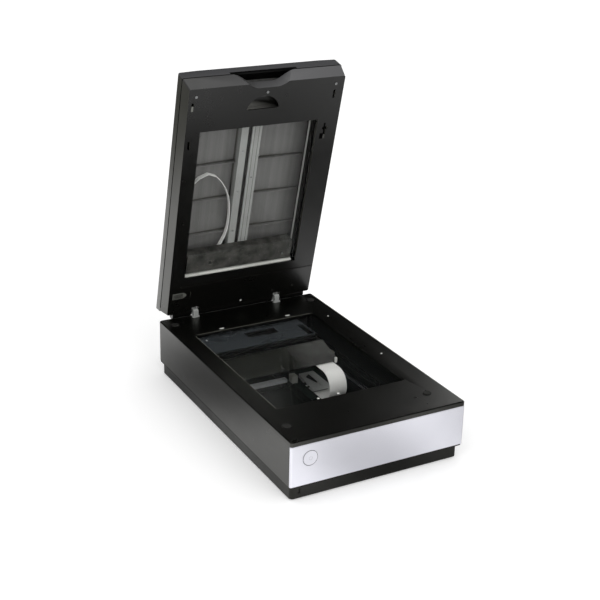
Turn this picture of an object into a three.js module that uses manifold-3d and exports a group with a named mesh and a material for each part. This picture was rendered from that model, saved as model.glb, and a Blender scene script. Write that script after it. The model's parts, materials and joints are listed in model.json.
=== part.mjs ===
// A flatbed photo scanner with its lid open: base, glass bed, belt-driven scan carriage, lift-out hinge
// and a lid that holds a second, travelling lamp for film. Millimetres, X right, Y to the back, Z up.
// The base is modelled about its own middle and the finished group is centred at the end.
import * as THREE from "three";
import { mergeVertices } from "three/addons/utils/BufferGeometryUtils.js";
import Module from "manifold-3d";

const wasm = await Module();
wasm.setup();

// Driving dimensions of the whole machine
const baseWidth = 308;
const baseDepth = 498;
const baseTop = 97.5;
const caseWall = 2.6;
const topThickness = 2.6;
const cornerRadius = 4;
const gap = 0.3; // what touching pieces keep between them
const overrun = 6; // how far a cutter runs past the face it cuts
const lidLean = 14.43; // degrees by which the open lid leans forward of upright
const bedCentreX = -7; // the bed, the lid window and the hinge posts share this line
const bedSideMargin = 38;
const bedFrontMargin = 106;
const bedRearMargin = 88;

// The base's own edges, which the places below are measured from
const halfWidth = baseWidth / 2;
const halfDepth = baseDepth / 2;
const bedWidth = baseWidth - 2 * bedSideMargin;
const bedFront = -halfDepth + bedFrontMargin;
const bedRear = halfDepth - bedRearMargin;
const bedLeft = bedCentreX - bedWidth / 2;
const bedRight = bedCentreX + bedWidth / 2;
const postInset = 34.5; // from the sides of the bed to the hinge posts
const postXs = [bedLeft + postInset, bedRight - postInset];

// Foot and lower tray
const footRadius = 9;
const footHeight = 2.9;
const footInsetX = 26;
const footInsetY = 32;
const footRecess = 1.2;
const trayBottom = 2;
const trayTop = 22;
const trayInsetLeft = 1.5;
const trayInsetRight = 9;
const trayInsetFront = 1.5;
const trayInsetRear = 11;
const trayFloor = 2.8;
const trayRoot = 1; // how deep ribs and bosses reach into the tray's floor
const trayFlange = 2.3;
const trayRadius = 6;
const trayRibHeight = 2.2;
const crossRibHeight = 1.8;
const trayRibThickness = 1.6;
const trayRibPitch = 78;
const notchFromLeft = 15.8;
const notchWidth = 4.4;
const notchHeight = 8.5;
const notchRise = 9.5;

// Upper housing
const topChamfer = 1.4;
const bandHeight = 7.6; // lip of the housing above the silver front
const bedBevel = 1.5;
const rimWall = 2;
const rimDepth = 5;
const bossRadius = 4.5;
const boardPostRadius = 3.5;
const bossHole = 1.5;
const bossInsetX = 8;
const bossInsetFront = 17;
const bossInsetRear = 11;

// Silver front and its button
const panelThickness = 4.6;
const panelSkin = 2.2;
const panelEdge = 3;
const buttonRadius = 12;
const buttonInset = 33; // from the left end of the front
const buttonX = -halfWidth + buttonInset;
const buttonBelowTop = 31.9;
const buttonZ = baseTop - buttonBelowTop;
const buttonProud = 0.5;
const buttonCrown = 0.7;
const buttonTravel = 1.2;
const buttonBody = 2.4;
const stemRadius = 3;
const boardThickness = 1.6;
const panelBoardWidth = 38;
const panelBoardHeight = 30;
const switchSide = 6;

// Glass of the bed
const glassThickness = 3;
const glassLap = 11;
const gasketThickness = 0.6;
const gasketLap = 8;
const glassTop = baseTop - topThickness - gasketThickness - 2 * gap;

// Guide rod, side rail and their supports
const rodRadius = 4;
const rodInset = 46; // from the right side of the base
const rodX = halfWidth - rodInset;
const rodZ = 30;
const rodFrontInset = 74;
const rodRearInset = 54;
const rodFront = -halfDepth + rodFrontInset;
const rodRear = halfDepth - rodRearInset;
const rodBlockWidth = 16;
const rodBlockDepth = 10;
const rodBlockTop = 36;
const railInset = 11.5; // from the left side of the base
const railX = -halfWidth + railInset;
const railWidth = 10;
const railThickness = 1.6;
const railWebThickness = 4;
const railFrontInset = 27;
const railRearInset = 23;
const railFront = -halfDepth + railFrontInset;
const railRear = halfDepth - railRearInset;

// Scan carriage
const carriageInset = 30; // from the left side of the base
const carriageToRod = 26;
const carriageRearInset = 69;
const carriageBelowGlass = 2.7;
const carriageHeight = 21;
const slotBehind = 80; // from the carriage's rear edge to the lamp slot
const slotLength = 24;
const carriageLeft = -halfWidth + carriageInset;
const carriageRight = rodX - carriageToRod;
const carriageRear = halfDepth - carriageRearInset;
const carriageTop = glassTop - glassThickness - carriageBelowGlass;
const carriageBottom = carriageTop - carriageHeight;
const railBelowCarriage = 9;
const railHeight = carriageBottom - railBelowCarriage;
const slotRear = carriageRear - slotBehind;
const slotFront = slotRear - slotLength;
const carriageWall = 2.4;
const plateThickness = 1.5;
const slotDrop = 3;
const slotWindow = 8;
const shroudLength = 56;
const shroudFall = 16.5;
const shroudFront = slotFront - shroudLength;
const shroudFrontTop = carriageTop - shroudFall;
const shroudSheet = 2;
const shroudLip = 3.6;
const topCutWidth = 59;
const topCutDepth = 24;
const topCutX = -3.5;
const topCutInset = 37;
const topCutY = carriageRear - topCutInset;
const sideCutWidth = 14;
const sideCutDepth = 44;
const sideCutInset = 56;
const sideCutY = carriageRear - sideCutInset;
const lampDepth = 5.2;
const lampHeight = 3.4;
const lensWidth = 80;
const lensDepth = 62;
const lensHeight = 38;
const lensBelowTop = 8;
const lensTop = carriageTop - lensBelowTop;
const lensBottom = lensTop - lensHeight;
const lensBarrel = 13;
const lensBarrelLength = 16;
const sensorHeight = 36;
const armWidth = 34;
const armInset = 65;
const armY = carriageRear - armInset;
const armSheet = 3.4;
const bushingOuter = 7;
const bushingWall = 2.7;
const bushingBlock = 9;
const padLength = 50;
const padThickness = 3.2;
const padArmLap = 2.9; // how far the slider's arm reaches up the carriage

// Belt drive of the scan carriage
const beltInset = 24; // from the right side of the base
const beltEndInset = 37; // from each pulley's axis to the end of the base
const beltX = halfWidth - beltInset;
const beltSpan = halfDepth - beltEndInset;
const pulleyRadius = 6.4;
const beltThickness = 1.3;
const beltTooth = 0.8;
const beltPitch = 12;
const beltWidth = 5.5;
const beltBottom = 31.2;
const flangeRadius = 9;
const flangeThickness = 1.2;
const axleRadius = 2.5;
const runningGap = 0.3;
const gearModule = 1.1;
const gearTeeth = 32;
const toothTipShare = 0.85; // of the module, above the pitch line
const toothRootShare = 1.15;
const toothTipHalfShare = 0.13; // half a tooth's width as a share of the step
const toothRootHalfShare = 0.31;
const pinionTeeth = 10;
const gearThickness = 4.4;
const gearBottom = 25.2;
const motorRadius = 14;
const motorHeight = 16.4;
const motorOffset = 22;
const motorX = beltX - motorOffset;
const motorFlange = 1.5;
const motorEar = 6;
const clampLength = 14;
const clampWall = 1.4;

// Ribbon cable of the carriage and the board it plugs into
const ribbonWidth = 33;
const ribbonInset = 25.5; // from the carriage's right end
const ribbonThickness = 0.8;
const ribbonAxisY = 0;
const ribbonTopInset = 64;
const ribbonLowEnd = 58;
const ribbonAboveBoard = 3.8;
const mainBoardInset = 56; // from the right side of the base
const mainBoardWidth = 70;
const mainBoardFront = 12;
const mainBoardRear = 124;
const mainBoardBottom = 7.6;
const ribbonX = carriageRight - ribbonInset;
const ribbonTopEnd = carriageRear - ribbonTopInset;
const ribbonHighZ = carriageBottom - 2 * gap - ribbonThickness / 2;
const ribbonLowZ = mainBoardBottom + boardThickness + ribbonAboveBoard;
const ribbonRadius = (ribbonHighZ - ribbonLowZ) / 2; // at the middle of its thickness
const ribbonAxisZ = (ribbonHighZ + ribbonLowZ) / 2;
const mainBoardRight = halfWidth - mainBoardInset;
const mainBoardLeft = mainBoardRight - mainBoardWidth;
const headerDepth = 8;
const headerHeight = 6;
const shieldTop = 16.8;
const shieldSheet = 1.2;
const shieldFront = 23;
const shieldRear = 97;
const shieldInsetRight = 21; // from the main board's edges
const shieldInsetFront = 9;
const shieldInsetRear = 20;
const shieldRight = mainBoardRight - shieldInsetRight;
const shieldLeftFront = mainBoardLeft + shieldInsetFront;
const shieldLeftRear = mainBoardLeft + shieldInsetRear;
const barInset = 14;
const barToBoard = 12;
const barLeft = -halfWidth + barInset;
const barRight = mainBoardLeft - barToBoard;
const barFront = 80;
const barRear = 90;
const barBottom = 14;
const barTop = 20;
const plugOverhang = 2;
const plugWidth = 10.4;
const plugLeft = mainBoardLeft - plugOverhang;
const plugRight = plugLeft + plugWidth;
const plugFront = 79;
const plugRear = 93;
const plugTop = 23;

// Sockets and lock on the back wall
const portZ = 42;
const powerInset = 34; // from the left side of the base
const powerX = -halfWidth + powerInset;
const usbFromPost = 22.5;
const usbX = postXs[0] + usbFromPost;
const usbWidth = 12;
const usbHeight = 11;
const portDepth = 14;
const portWall = 1.2;
const lidPortPitch = 26;
const lidPortX = usbX + lidPortPitch;
const lidPortWidth = 16;
const lidPortHeight = 10;
const powerRadius = 5.5;
const powerBore = 3.4;
const powerPin = 1;
const portFlange = 2;
const portFlangeThickness = 1.5;
const lockFromPost = 40;
const lockX = postXs[1] - lockFromPost;
const lockZ = 46;
const lockRadius = 9;
const lockSlotShare = 0.75; // of the knob's radius
const lockHead = 6.4; // how deep the knob sits behind the wall
const lockSlotWidth = 2.2;
const lockSlotDepth = 2.4;
const lockStemRadius = 2.8;
const lockStemLength = 9.6;
const lockBolt = 3.5;
const lockCupWall = 1.8;

// Rubber pads on the top face
const padRadius = 7;
const padStandsOut = 1.5;
const padRecess = 1;
const padRearInsetX = 18;
const padRearInsetY = 31;
const padFrontInsetLeft = 19;
const padFrontInsetRight = 39;
const padFrontInsetY = 49;

// Hinge
const hingeInset = 2; // axis in front of the base's rear face
const hingeRise = 8.56; // axis above the top face of the base
const hingeY = halfDepth - hingeInset;
const lidFaceRise = 2; // closed lid above the top face of the base
const hingeRear = 4; // the lid's rear edge stands this far in front of the axis
const postWidth = 9;
const postToAxis = 12.5;
const postDepth = 8;
const postInCase = 52.5; // how far a post reaches below the top face
const postStandsOut = 15;
const postFront = hingeY - postToAxis;
const postBottom = baseTop - postInCase;
const postTop = baseTop + postStandsOut;
const postFootWidth = 13.7;
const postFootHeight = 3.6;
const postFootDepth = 4;
const knuckleRadius = 7.2;
const barrelRadius = 7.9;
const barrelInset = 22; // from each side of the base
const barrelHalf = halfWidth - barrelInset;
const pinRadius = 2.5;
const pinLength = 44;
const postSweep = 14.9;
const socketWall = 2;
const socketFloorGap = 5;
const socketBottom = postBottom - socketFloorGap;

// Lid, modelled shut: x across, y from the hinge to the free edge, z up from its inner face
const lidSideInset = 8; // from the side of the base
const lidBandInset = 3.5; // from the outer cover to the inner case
const lidFrontInset = 50; // from the front of the base
const lidHalfOuter = halfWidth - lidSideInset;
const lidHalfInner = lidHalfOuter - lidBandInset;
const lidLength = hingeY - hingeRear + halfDepth - lidFrontInset;
const lidBandSlope = 8.7; // how far the free edge leans out by the parting line
const lidParting = 23.7;
const lidEdge = 44.3;
const lidCrown = 7.7;
const lidWall = 2.6;
const lidGroove = 0.9;
const lidPlanRadius = 3;
const coverFillet = 5;
const coverRoundShare = 1.6; // the free edge is rounder than the sides
const windowNarrower = 13; // than the bed
const windowRear = 74.5;
const windowEdgeInset = 78.5; // from the lid's free edge
const windowWidth = bedWidth - windowNarrower;
const windowFront = lidLength - windowEdgeInset;
const scoopHalf = 58;
const scoopFlat = 17;
const scoopDepth = 17;
const scoopCentre = -1;
const moonRadius = 31;
const moonInset = 46; // from the lid's free edge
const moonEdge = lidLength - moonInset;
const moonRise = 23;
const moonDepth = 9;
const moonWallShare = 0.7; // of the lid's wall, round the finger recess
const ridgeAt = 55;
const ridgeWidth = 2.2;
const ridgeHeight = 0.7;
const ridgeInsetLeft = 21.5;
const ridgeInsetRight = 2.5;
const ridgeLeft = -lidHalfInner + ridgeInsetLeft;
const ridgeRight = lidHalfInner - ridgeInsetRight;
const hookSlotWidth = 4.5;
const hookSlotLength = 15;
const hookInset = 8;
const hookEdgeInset = 32;
const hookMidInset = 101;
const hookTeeInset = 24.1; // the T-shaped slot on the right stands nearer the window
const hookTeeWidth = 9.5;
const hookTeeDepth = 5.5;
const hookInnerX = lidHalfInner - hookInset;
const hookFrontAt = lidLength - hookEdgeInset;
const hookMidAt = lidLength - hookMidInset;
const lidGlassThickness = 2.5;
const lidGlassLap = 7;
const lidRibThickness = 1.5;
const lidRibDrop = 2.8;
const lidRibFirst = 135;
const lidRibCount = 4;
const lidRibPitch = 69.5;
const bedRibThickness = 2;

// Rails, lamp, belt and cable inside the lid
const lidRailBottom = 30;
const lidRailTop = 40;
const lidRailStart = 42;
const lidRailInset = 44; // from the lid's free edge
const lidRailEnd = lidLength - lidRailInset;
const leftRailFrom = -24;
const leftRailTo = -11;
const rightRailFrom = -3.4;
const rightRailTo = 14;
const lampSideGap = 6.5;
const lampHalf = windowWidth / 2 - lampSideGap;
const lampRear = 76;
const lampFront = 115;
const lampBottom = 9;
const lampShell = 2.4;
const tubeRear = 69.5;
const tubeFront = 75.6;
const tubeBottom = 6;
const tubeTop = 12;
const tubeSideGap = 4.5;
const tubeHalf = windowWidth / 2 - tubeSideGap;
const lidPulleyRadius = 3.4;
const lidBeltThickness = 1;
const lidBeltWidth = 4.4;
const lidPulleyRear = 52;
const lidPulleyInset = 54; // from the lid's free edge
const lidPulleyFront = lidLength - lidPulleyInset;
const lidBeltZ = 35;
const lidMotorRadius = 8.5;
const lidMotorLength = 28;
const lidRibbonThickness = 0.9;
const lidRibbonWidth = 8;
const lidRibbonBottom = 30.3;
const lidRibbonSteps = 26;
// Where the cable passes, across the lid and away from the hinge.
const lidRibbonRoute = [
  [-46, 98],
  [-37, 116],
  [-28, 143],
  [-33, 212],
  [-54, 249],
  [-74, 262],
  [-100, 250],
  [-116, 222],
  [-126, 180],
  [-129, 100],
  [-128, 26],
];
const lampClipLength = 16;
const lockSliderLength = 26;
const lockSliderWidth = 12;
const lockSliderInset = 20.5;
const lockSliderX = -lidHalfInner + lockSliderInset;
const lockSliderAt = 38.5;
const lockSliderThickness = 1.6;
const lockSliderTravel = 8;
const lockSliderRibs = 8;
const lockRibbedShare = 0.7; // of the slider's length
const lockRibHeight = 0.7;
const lockSlotHalf = 2.5;

// Worked out from the sizes above
const frontWallY = -halfDepth + panelThickness + gap;
const bandBottom = baseTop - bandHeight;
const housingBottom = trayTop + gap;
const topUnderside = baseTop - topThickness;
const floorTop = trayBottom + trayFloor;
const rootZ = trayBottom + trayRoot;
const hingeZ = baseTop + hingeRise;
const faceDrop = hingeRise - lidFaceRise;
const openAngle = 90 - lidLean;
const rearSlope = Math.tan(THREE.MathUtils.degToRad(lidLean));
const frameTop = carriageTop - plateThickness - gap;
const rodBlocks = [rodFront, rodRear - rodBlockDepth];
const footSpots = [
  ["foot_front_left", -halfWidth + footInsetX, -halfDepth + footInsetY],
  ["foot_front_right", halfWidth - footInsetX, -halfDepth + footInsetY],
  ["foot_rear_left", -halfWidth + footInsetX, halfDepth - footInsetY],
  ["foot_rear_right", halfWidth - footInsetX, halfDepth - footInsetY],
];
const padSpots = [
  ["pad_rear_left", -halfWidth + padRearInsetX, halfDepth - padRearInsetY],
  ["pad_rear_right", halfWidth - padRearInsetX, halfDepth - padRearInsetY],
  ["pad_front_left", -halfWidth + padFrontInsetLeft, -halfDepth + padFrontInsetY],
  ["pad_front_right", halfWidth - padFrontInsetRight, -halfDepth + padFrontInsetY],
];
const bossSpots = [
  [-halfWidth + bossInsetX, -halfDepth + bossInsetFront],
  [halfWidth - bossInsetX, -halfDepth + bossInsetFront],
  [-halfWidth + bossInsetX, halfDepth - bossInsetRear],
  [halfWidth - bossInsetX, halfDepth - bossInsetRear],
];
const gearRadius = (gearModule * gearTeeth) / 2;
const pinionRadius = (gearModule * pinionTeeth) / 2;
const gearDistance = gearRadius + pinionRadius;
const motorY = beltSpan + Math.sqrt(gearDistance ** 2 - (beltX - motorX) ** 2);
const beltTop = beltBottom + beltWidth;
const beltRun = beltX - pulleyRadius; // the belt's pitch line on the carriage's side

// Colours and finishes
const finishes = {
  blackCase: { color: 0x171715, roughness: 0.5, metalness: 0 },
  greyCase: { color: 0x3c3c38, roughness: 0.55, metalness: 0 },
  silver: { color: 0xd3d3da, roughness: 0.38, metalness: 0.1 },
  button: { color: 0xd9d9de, roughness: 0.4, metalness: 0.1 },
  glossBlack: { color: 0x0d0e0d, roughness: 0.12, metalness: 0 },
  bluePlate: { color: 0x2f3338, roughness: 0.18, metalness: 0.1 },
  glass: { color: 0xdfe8e6, roughness: 0.04, metalness: 0, transparent: true, opacity: 0.2 },
  rubber: { color: 0x2b2b2b, roughness: 0.9, metalness: 0 },
  steel: { color: 0xb5b7b8, roughness: 0.28, metalness: 1 },
  sheetMetal: { color: 0x75797a, roughness: 0.4, metalness: 0.8 },
  bronze: { color: 0x9a7440, roughness: 0.45, metalness: 0.9 },
  lightPlastic: { color: 0x9da19e, roughness: 0.5, metalness: 0 },
  nylon: { color: 0xcfcfc6, roughness: 0.5, metalness: 0 },
  lampWhite: { color: 0xd6d8d4, roughness: 0.35, metalness: 0 },
  ribbon: { color: 0xe9e9e4, roughness: 0.4, metalness: 0 },
  board: { color: 0x1f4a33, roughness: 0.5, metalness: 0 },
  socket: { color: 0x1c1c1c, roughness: 0.45, metalness: 0 },
};

// Solids from three.js geometry, joined and cut
function toSolid(geometry) {
  const bare = geometry.clone();
  bare.deleteAttribute("normal");
  bare.deleteAttribute("uv");
  const merged = mergeVertices(bare, 1e-4);
  return new wasm.Manifold(
    new wasm.Mesh({
      numProp: 3,
      vertProperties: new Float32Array(merged.attributes.position.array),
      triVerts: new Uint32Array(merged.index.array),
    }),
  );
}

function toGeometry(solid) {
  const mesh = solid.getMesh();
  const positions = new Float32Array(mesh.numVert * 3);
  for (let i = 0; i < mesh.numVert; i++) {
    positions.set(mesh.vertProperties.subarray(i * mesh.numProp, i * mesh.numProp + 3), i * 3);
  }
  const geometry = new THREE.BufferGeometry();
  geometry.setAttribute("position", new THREE.BufferAttribute(positions, 3));
  geometry.setIndex(new THREE.BufferAttribute(mesh.triVerts, 1));
  const flat = geometry.toNonIndexed();
  flat.computeVertexNormals();
  return flat;
}

function join(...solids) {
  return solids.flat().reduce((sum, solid) => sum.add(solid));
}

function cut(solid, ...cutters) {
  return cutters.flat().reduce((left, cutter) => left.subtract(cutter), solid);
}

// A block between two corners.
function block(x0, x1, y0, y1, z0, z1) {
  const geometry = new THREE.BoxGeometry(x1 - x0, y1 - y0, z1 - z0);
  geometry.translate((x0 + x1) / 2, (y0 + y1) / 2, (z0 + z1) / 2);
  return toSolid(geometry);
}

function rectangle(x0, x1, y0, y1, radius) {
  const shape = new THREE.Shape();
  const r = Math.min(radius, (x1 - x0) / 2, (y1 - y0) / 2);
  shape.absarc(x1 - r, y1 - r, r, 0, Math.PI / 2);
  shape.absarc(x0 + r, y1 - r, r, Math.PI / 2, Math.PI);
  shape.absarc(x0 + r, y0 + r, r, Math.PI, Math.PI * 1.5);
  shape.absarc(x1 - r, y0 + r, r, Math.PI * 1.5, Math.PI * 2);
  return shape;
}

function outline(points) {
  return new THREE.Shape(points.map(([a, b]) => new THREE.Vector2(a, b)));
}

function extrude(shape, depth, steps) {
  return new THREE.ExtrudeGeometry(shape, { depth, bevelEnabled: false, curveSegments: steps });
}

// A plan outline raised between two heights.
function raised(shape, z0, z1, steps = 4) {
  return toSolid(extrude(shape, z1 - z0, steps).translate(0, 0, z0));
}

// An outline in Y and Z run along X.
function alongX(shape, x0, x1, steps = 8) {
  const turn = new THREE.Matrix4().makeBasis(
    new THREE.Vector3(0, 1, 0),
    new THREE.Vector3(0, 0, 1),
    new THREE.Vector3(1, 0, 0),
  );
  return toSolid(extrude(shape, x1 - x0, steps).applyMatrix4(turn).translate(x0, 0, 0));
}

// An outline in X and Z run along Y.
function alongY(shape, y0, y1, steps = 8) {
  const turn = new THREE.Matrix4().makeBasis(
    new THREE.Vector3(1, 0, 0),
    new THREE.Vector3(0, 0, 1),
    new THREE.Vector3(0, -1, 0),
  );
  return toSolid(extrude(shape, y1 - y0, steps).applyMatrix4(turn).translate(0, y1, 0));
}

// A round bar along one axis, from one end to the other.
function bar(axis, from, to, u, v, radius, sides = 20) {
  const geometry = new THREE.CylinderGeometry(radius, radius, to - from, sides);
  const middle = (from + to) / 2;
  if (axis === "x") geometry.rotateZ(Math.PI / 2).translate(middle, u, v);
  if (axis === "y") geometry.translate(u, middle, v);
  if (axis === "z") geometry.rotateX(Math.PI / 2).translate(u, v, middle);
  return toSolid(geometry);
}

// A closed skin over a stack of outlines that have as many points each.
function loft(rings) {
  const count = rings[0].length;
  const positions = rings.flat().flatMap(([x, y, z]) => [x, y, z]);
  const index = [];
  for (let k = 0; k + 1 < rings.length; k++) {
    for (let i = 0; i < count; i++) {
      const a = k * count + i;
      const b = k * count + ((i + 1) % count);
      index.push(a, b, b + count, a, b + count, a + count);
    }
  }
  const cap = (ring) =>
    THREE.ShapeUtils.triangulateShape(ring.map(([x, y]) => new THREE.Vector2(x, y)), []);
  const last = (rings.length - 1) * count;
  for (const [a, b, c] of cap(rings[0])) index.push(a, c, b);
  for (const [a, b, c] of cap(rings[rings.length - 1])) index.push(last + a, last + b, last + c);
  const geometry = new THREE.BufferGeometry();
  geometry.setAttribute("position", new THREE.Float32BufferAttribute(positions, 3));
  geometry.setIndex(index);
  return toSolid(geometry);
}

function ringOf(x0, x1, y0, y1, radius, z, steps = 3) {
  const points = rectangle(x0, x1, y0, y1, radius).getPoints(steps).slice(0, -1);
  return points.map((p) => [p.x, p.y, z]);
}

const scanner = new THREE.Group();
const hingeLift = new THREE.Group();
const lidTurn = new THREE.Group();
const lid = new THREE.Group();

// Places a finished solid in its group as a named mesh of its own material.
function piece(name, solid, finish, parent = scanner) {
  const mesh = new THREE.Mesh(toGeometry(solid), new THREE.MeshStandardMaterial(finishes[finish]));
  mesh.name = name;
  parent.add(mesh);
  return mesh;
}

// Lower tray: a shallow pan whose flange carries the upper housing, with ribs, rod blocks and the side rail.
function makeTray() {
  const left = -halfWidth + trayInsetLeft;
  const right = halfWidth - trayInsetRight;
  const front = -halfDepth + trayInsetFront;
  const rear = halfDepth - trayInsetRear;
  const pan = raised(rectangle(left, right, front, rear, trayRadius), trayBottom, trayTop);
  const flange = raised(
    rectangle(-halfWidth + gap, halfWidth - gap, front, halfDepth - gap, cornerRadius),
    trayTop - trayFlange,
    trayTop,
  );
  const hollow = raised(
    rectangle(left + caseWall, right - caseWall, front + caseWall, rear - caseWall, trayRadius - caseWall),
    floorTop,
    trayTop + overrun,
  );
  const ribs = [];
  const inFront = front + caseWall / 2;
  const inRear = rear - caseWall / 2;
  for (let y = -trayRibPitch * 2; y <= trayRibPitch * 2; y += trayRibPitch) {
    ribs.push(
      block(
        left + caseWall / 2,
        right - caseWall / 2,
        y,
        y + trayRibThickness,
        rootZ,
        floorTop + crossRibHeight,
      ),
    );
  }
  const lengthRibXs = [left + baseWidth / 3, left + (baseWidth * 2) / 3 - trayRibPitch / 2];
  for (const x of lengthRibXs) {
    ribs.push(block(x, x + trayRibThickness, inFront, inRear, rootZ, floorTop + trayRibHeight));
  }
  const railWeb = block(
    railX - railWebThickness / 2,
    railX + railWebThickness / 2,
    railFront,
    railRear,
    rootZ,
    railHeight - gap,
  );
  const rodBlocksSolid = rodBlocks.map((y) =>
    cut(
      block(rodX - rodBlockWidth / 2, rodX + rodBlockWidth / 2, y, y + rodBlockDepth, rootZ, rodBlockTop),
      bar("y", y - overrun, y + rodBlockDepth + overrun, rodX, rodZ, rodRadius + gap),
    ),
  );
  const barFeet = [barLeft, barRight - rodBlockDepth].map((x) =>
    block(x, x + rodBlockDepth, barFront, barRear, rootZ, barBottom - gap),
  );
  const boardPostYs = [mainBoardFront + trayRibThickness * 3, mainBoardRear - trayRibThickness * 3];
  const boardPosts = boardPostYs.flatMap((y) =>
    [mainBoardLeft + trayRibThickness * 3, mainBoardRight - trayRibThickness * 3].map((x) =>
      bar("z", rootZ, mainBoardBottom - gap, x, y, boardPostRadius, 8),
    ),
  );
  const gearAxle = bar("z", rootZ, beltTop + flangeThickness * 2 + gap, beltX, beltSpan, axleRadius, 16);
  const gearBoss = bar("z", rootZ, gearBottom - gap, beltX, beltSpan, bossRadius, 16);
  const lowBosses = bossSpots.map(([x, y]) => bar("z", trayTop - trayFlange, trayTop, x, y, bossRadius, 10));
  const screwWays = bossSpots.map(([x, y]) =>
    bar("z", trayBottom - overrun, trayTop + overrun, x, y, bossHole, 8),
  );
  const footSeats = footSpots.map(([, x, y]) =>
    bar("z", trayBottom - overrun, trayBottom + footRecess, x, y, footRadius + gap, 18),
  );
  const notch = block(
    -halfWidth + notchFromLeft - notchWidth / 2,
    -halfWidth + notchFromLeft + notchWidth / 2,
    front - overrun,
    front + caseWall / 2,
    notchRise,
    notchRise + notchHeight,
  );
  const solid = join(
    cut(join(pan, flange), hollow),
    ribs,
    railWeb,
    rodBlocksSolid,
    barFeet,
    boardPosts,
    gearBoss,
    gearAxle,
    lowBosses,
  );
  piece("bottom_case", cut(solid, screwWays, footSeats, notch), "blackCase");
}

function makeFeet() {
  for (const [name, x, y] of footSpots) {
    const rounding = footHeight / 5;
    const profile = [
      [0, 0],
      [footRadius - rounding, 0],
      [footRadius, rounding],
      [footRadius, footHeight],
      [0, footHeight],
    ].map(([r, z]) => new THREE.Vector2(r, z));
    const geometry = new THREE.LatheGeometry(profile, 18).rotateX(Math.PI / 2).translate(x, y, 0);
    piece(name, toSolid(geometry), "rubber");
  }
}

// Upper housing: a one-piece shell open below, with the bed cut through its top.
function makeHousing() {
  const plan = (inset, z) =>
    ringOf(-halfWidth + inset, halfWidth - inset, -halfDepth + inset, halfDepth - inset, cornerRadius, z);
  const outer = loft([plan(0, housingBottom), plan(0, baseTop - topChamfer), plan(topChamfer, baseTop)]);
  const panelSeat = block(
    -halfWidth - overrun,
    halfWidth + overrun,
    -halfDepth - overrun,
    frontWallY,
    housingBottom - overrun,
    bandBottom,
  );
  const cavity = raised(
    rectangle(
      -halfWidth + caseWall,
      halfWidth - caseWall,
      frontWallY + caseWall,
      halfDepth - caseWall,
      cornerRadius - caseWall,
    ),
    housingBottom - overrun,
    topUnderside,
  );
  const bedRing = (grow, z) =>
    ringOf(bedLeft - grow, bedRight + grow, bedFront - grow, bedRear + grow, cornerRadius / 2 + grow, z);
  const bedCut = loft([
    bedRing(0, topUnderside - overrun),
    bedRing(0, baseTop - bedBevel),
    bedRing(bedBevel, baseTop),
    bedRing(bedBevel, baseTop + overrun),
  ]);
  const rimInside = glassLap + gap;
  const rimOutside = rimInside + rimWall;
  const rim = cut(
    block(
      bedLeft - rimOutside,
      bedRight + rimOutside,
      bedFront - rimOutside,
      bedRear + rimOutside,
      topUnderside - rimDepth,
      topUnderside + topThickness / 2,
    ),
    block(
      bedLeft - rimInside,
      bedRight + rimInside,
      bedFront - rimInside,
      bedRear + rimInside,
      topUnderside - rimDepth - overrun,
      topUnderside,
    ),
  );
  const wellWidth = postWidth / 2 + gap;
  const wellFront = postFront - gap;
  const wellRear = postFront + postDepth + gap;
  const wells = postXs.map((x) =>
    block(
      x - wellWidth - socketWall,
      x + wellWidth + socketWall,
      wellFront - socketWall,
      wellRear + socketWall,
      socketBottom,
      topUnderside + topThickness / 2,
    ),
  );
  const wellCuts = postXs.map((x) =>
    block(x - wellWidth, x + wellWidth, wellFront, wellRear, socketBottom + socketWall, baseTop + overrun),
  );
  const bosses = bossSpots.map(([x, y]) =>
    bar("z", housingBottom, topUnderside + topThickness / 2, x, y, bossRadius, 10),
  );
  const bossHoles = bossSpots.map(([x, y]) =>
    bar("z", housingBottom - overrun, housingBottom + bandHeight, x, y, bossHole, 8),
  );
  const boardBack = frontWallY + caseWall;
  const boardPegs = [-1, 1].map((side) =>
    bar(
      "y",
      boardBack - caseWall / 2,
      boardBack + switchSide / 3 - gap,
      buttonX + (side * panelBoardWidth) / 3,
      buttonZ - panelBoardHeight / 3,
      stemRadius,
      12,
    ),
  );
  const stemWay = bar("y", -halfDepth, boardBack + overrun, buttonX, buttonZ, stemRadius + gap, 20);
  const usbWay = block(
    usbX - usbWidth / 2 - gap,
    usbX + usbWidth / 2 + gap,
    halfDepth - caseWall - overrun,
    halfDepth + overrun,
    portZ - usbHeight / 2 - gap,
    portZ + usbHeight / 2 + gap,
  );
  const lidWay = block(
    lidPortX - lidPortWidth / 2 - gap,
    lidPortX + lidPortWidth / 2 + gap,
    halfDepth - caseWall - overrun,
    halfDepth + overrun,
    portZ - lidPortHeight / 2 - gap,
    portZ + lidPortHeight / 2 + gap,
  );
  const powerWay = bar(
    "y",
    halfDepth - caseWall - overrun,
    halfDepth + overrun,
    powerX,
    portZ,
    powerRadius + gap,
    18,
  );
  const cupFloor = halfDepth - caseWall - lockHead - 2 * gap;
  const lockWay = bar("y", cupFloor, halfDepth + overrun, lockX, lockZ, lockRadius + gap, 28);
  const lockCup = bar(
    "y",
    cupFloor - lockCupWall,
    halfDepth - caseWall / 2,
    lockX,
    lockZ,
    lockRadius + gap + lockCupWall,
    28,
  );
  const lockStemWay = bar("y", cupFloor - overrun, halfDepth, lockX, lockZ, lockStemRadius + gap, 14);
  const padSeats = padSpots.map(([, x, y]) =>
    bar("z", baseTop - padRecess, baseTop + overrun, x, y, padRadius + gap, 18),
  );
  const shell = join(cut(outer, panelSeat, cavity), rim, wells, bosses, boardPegs, lockCup);
  const solid = cut(
    shell,
    bedCut,
    wellCuts,
    bossHoles,
    stemWay,
    usbWay,
    lidWay,
    powerWay,
    lockWay,
    lockStemWay,
    padSeats,
  );
  piece("upper_housing", solid, "blackCase");
}

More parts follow.
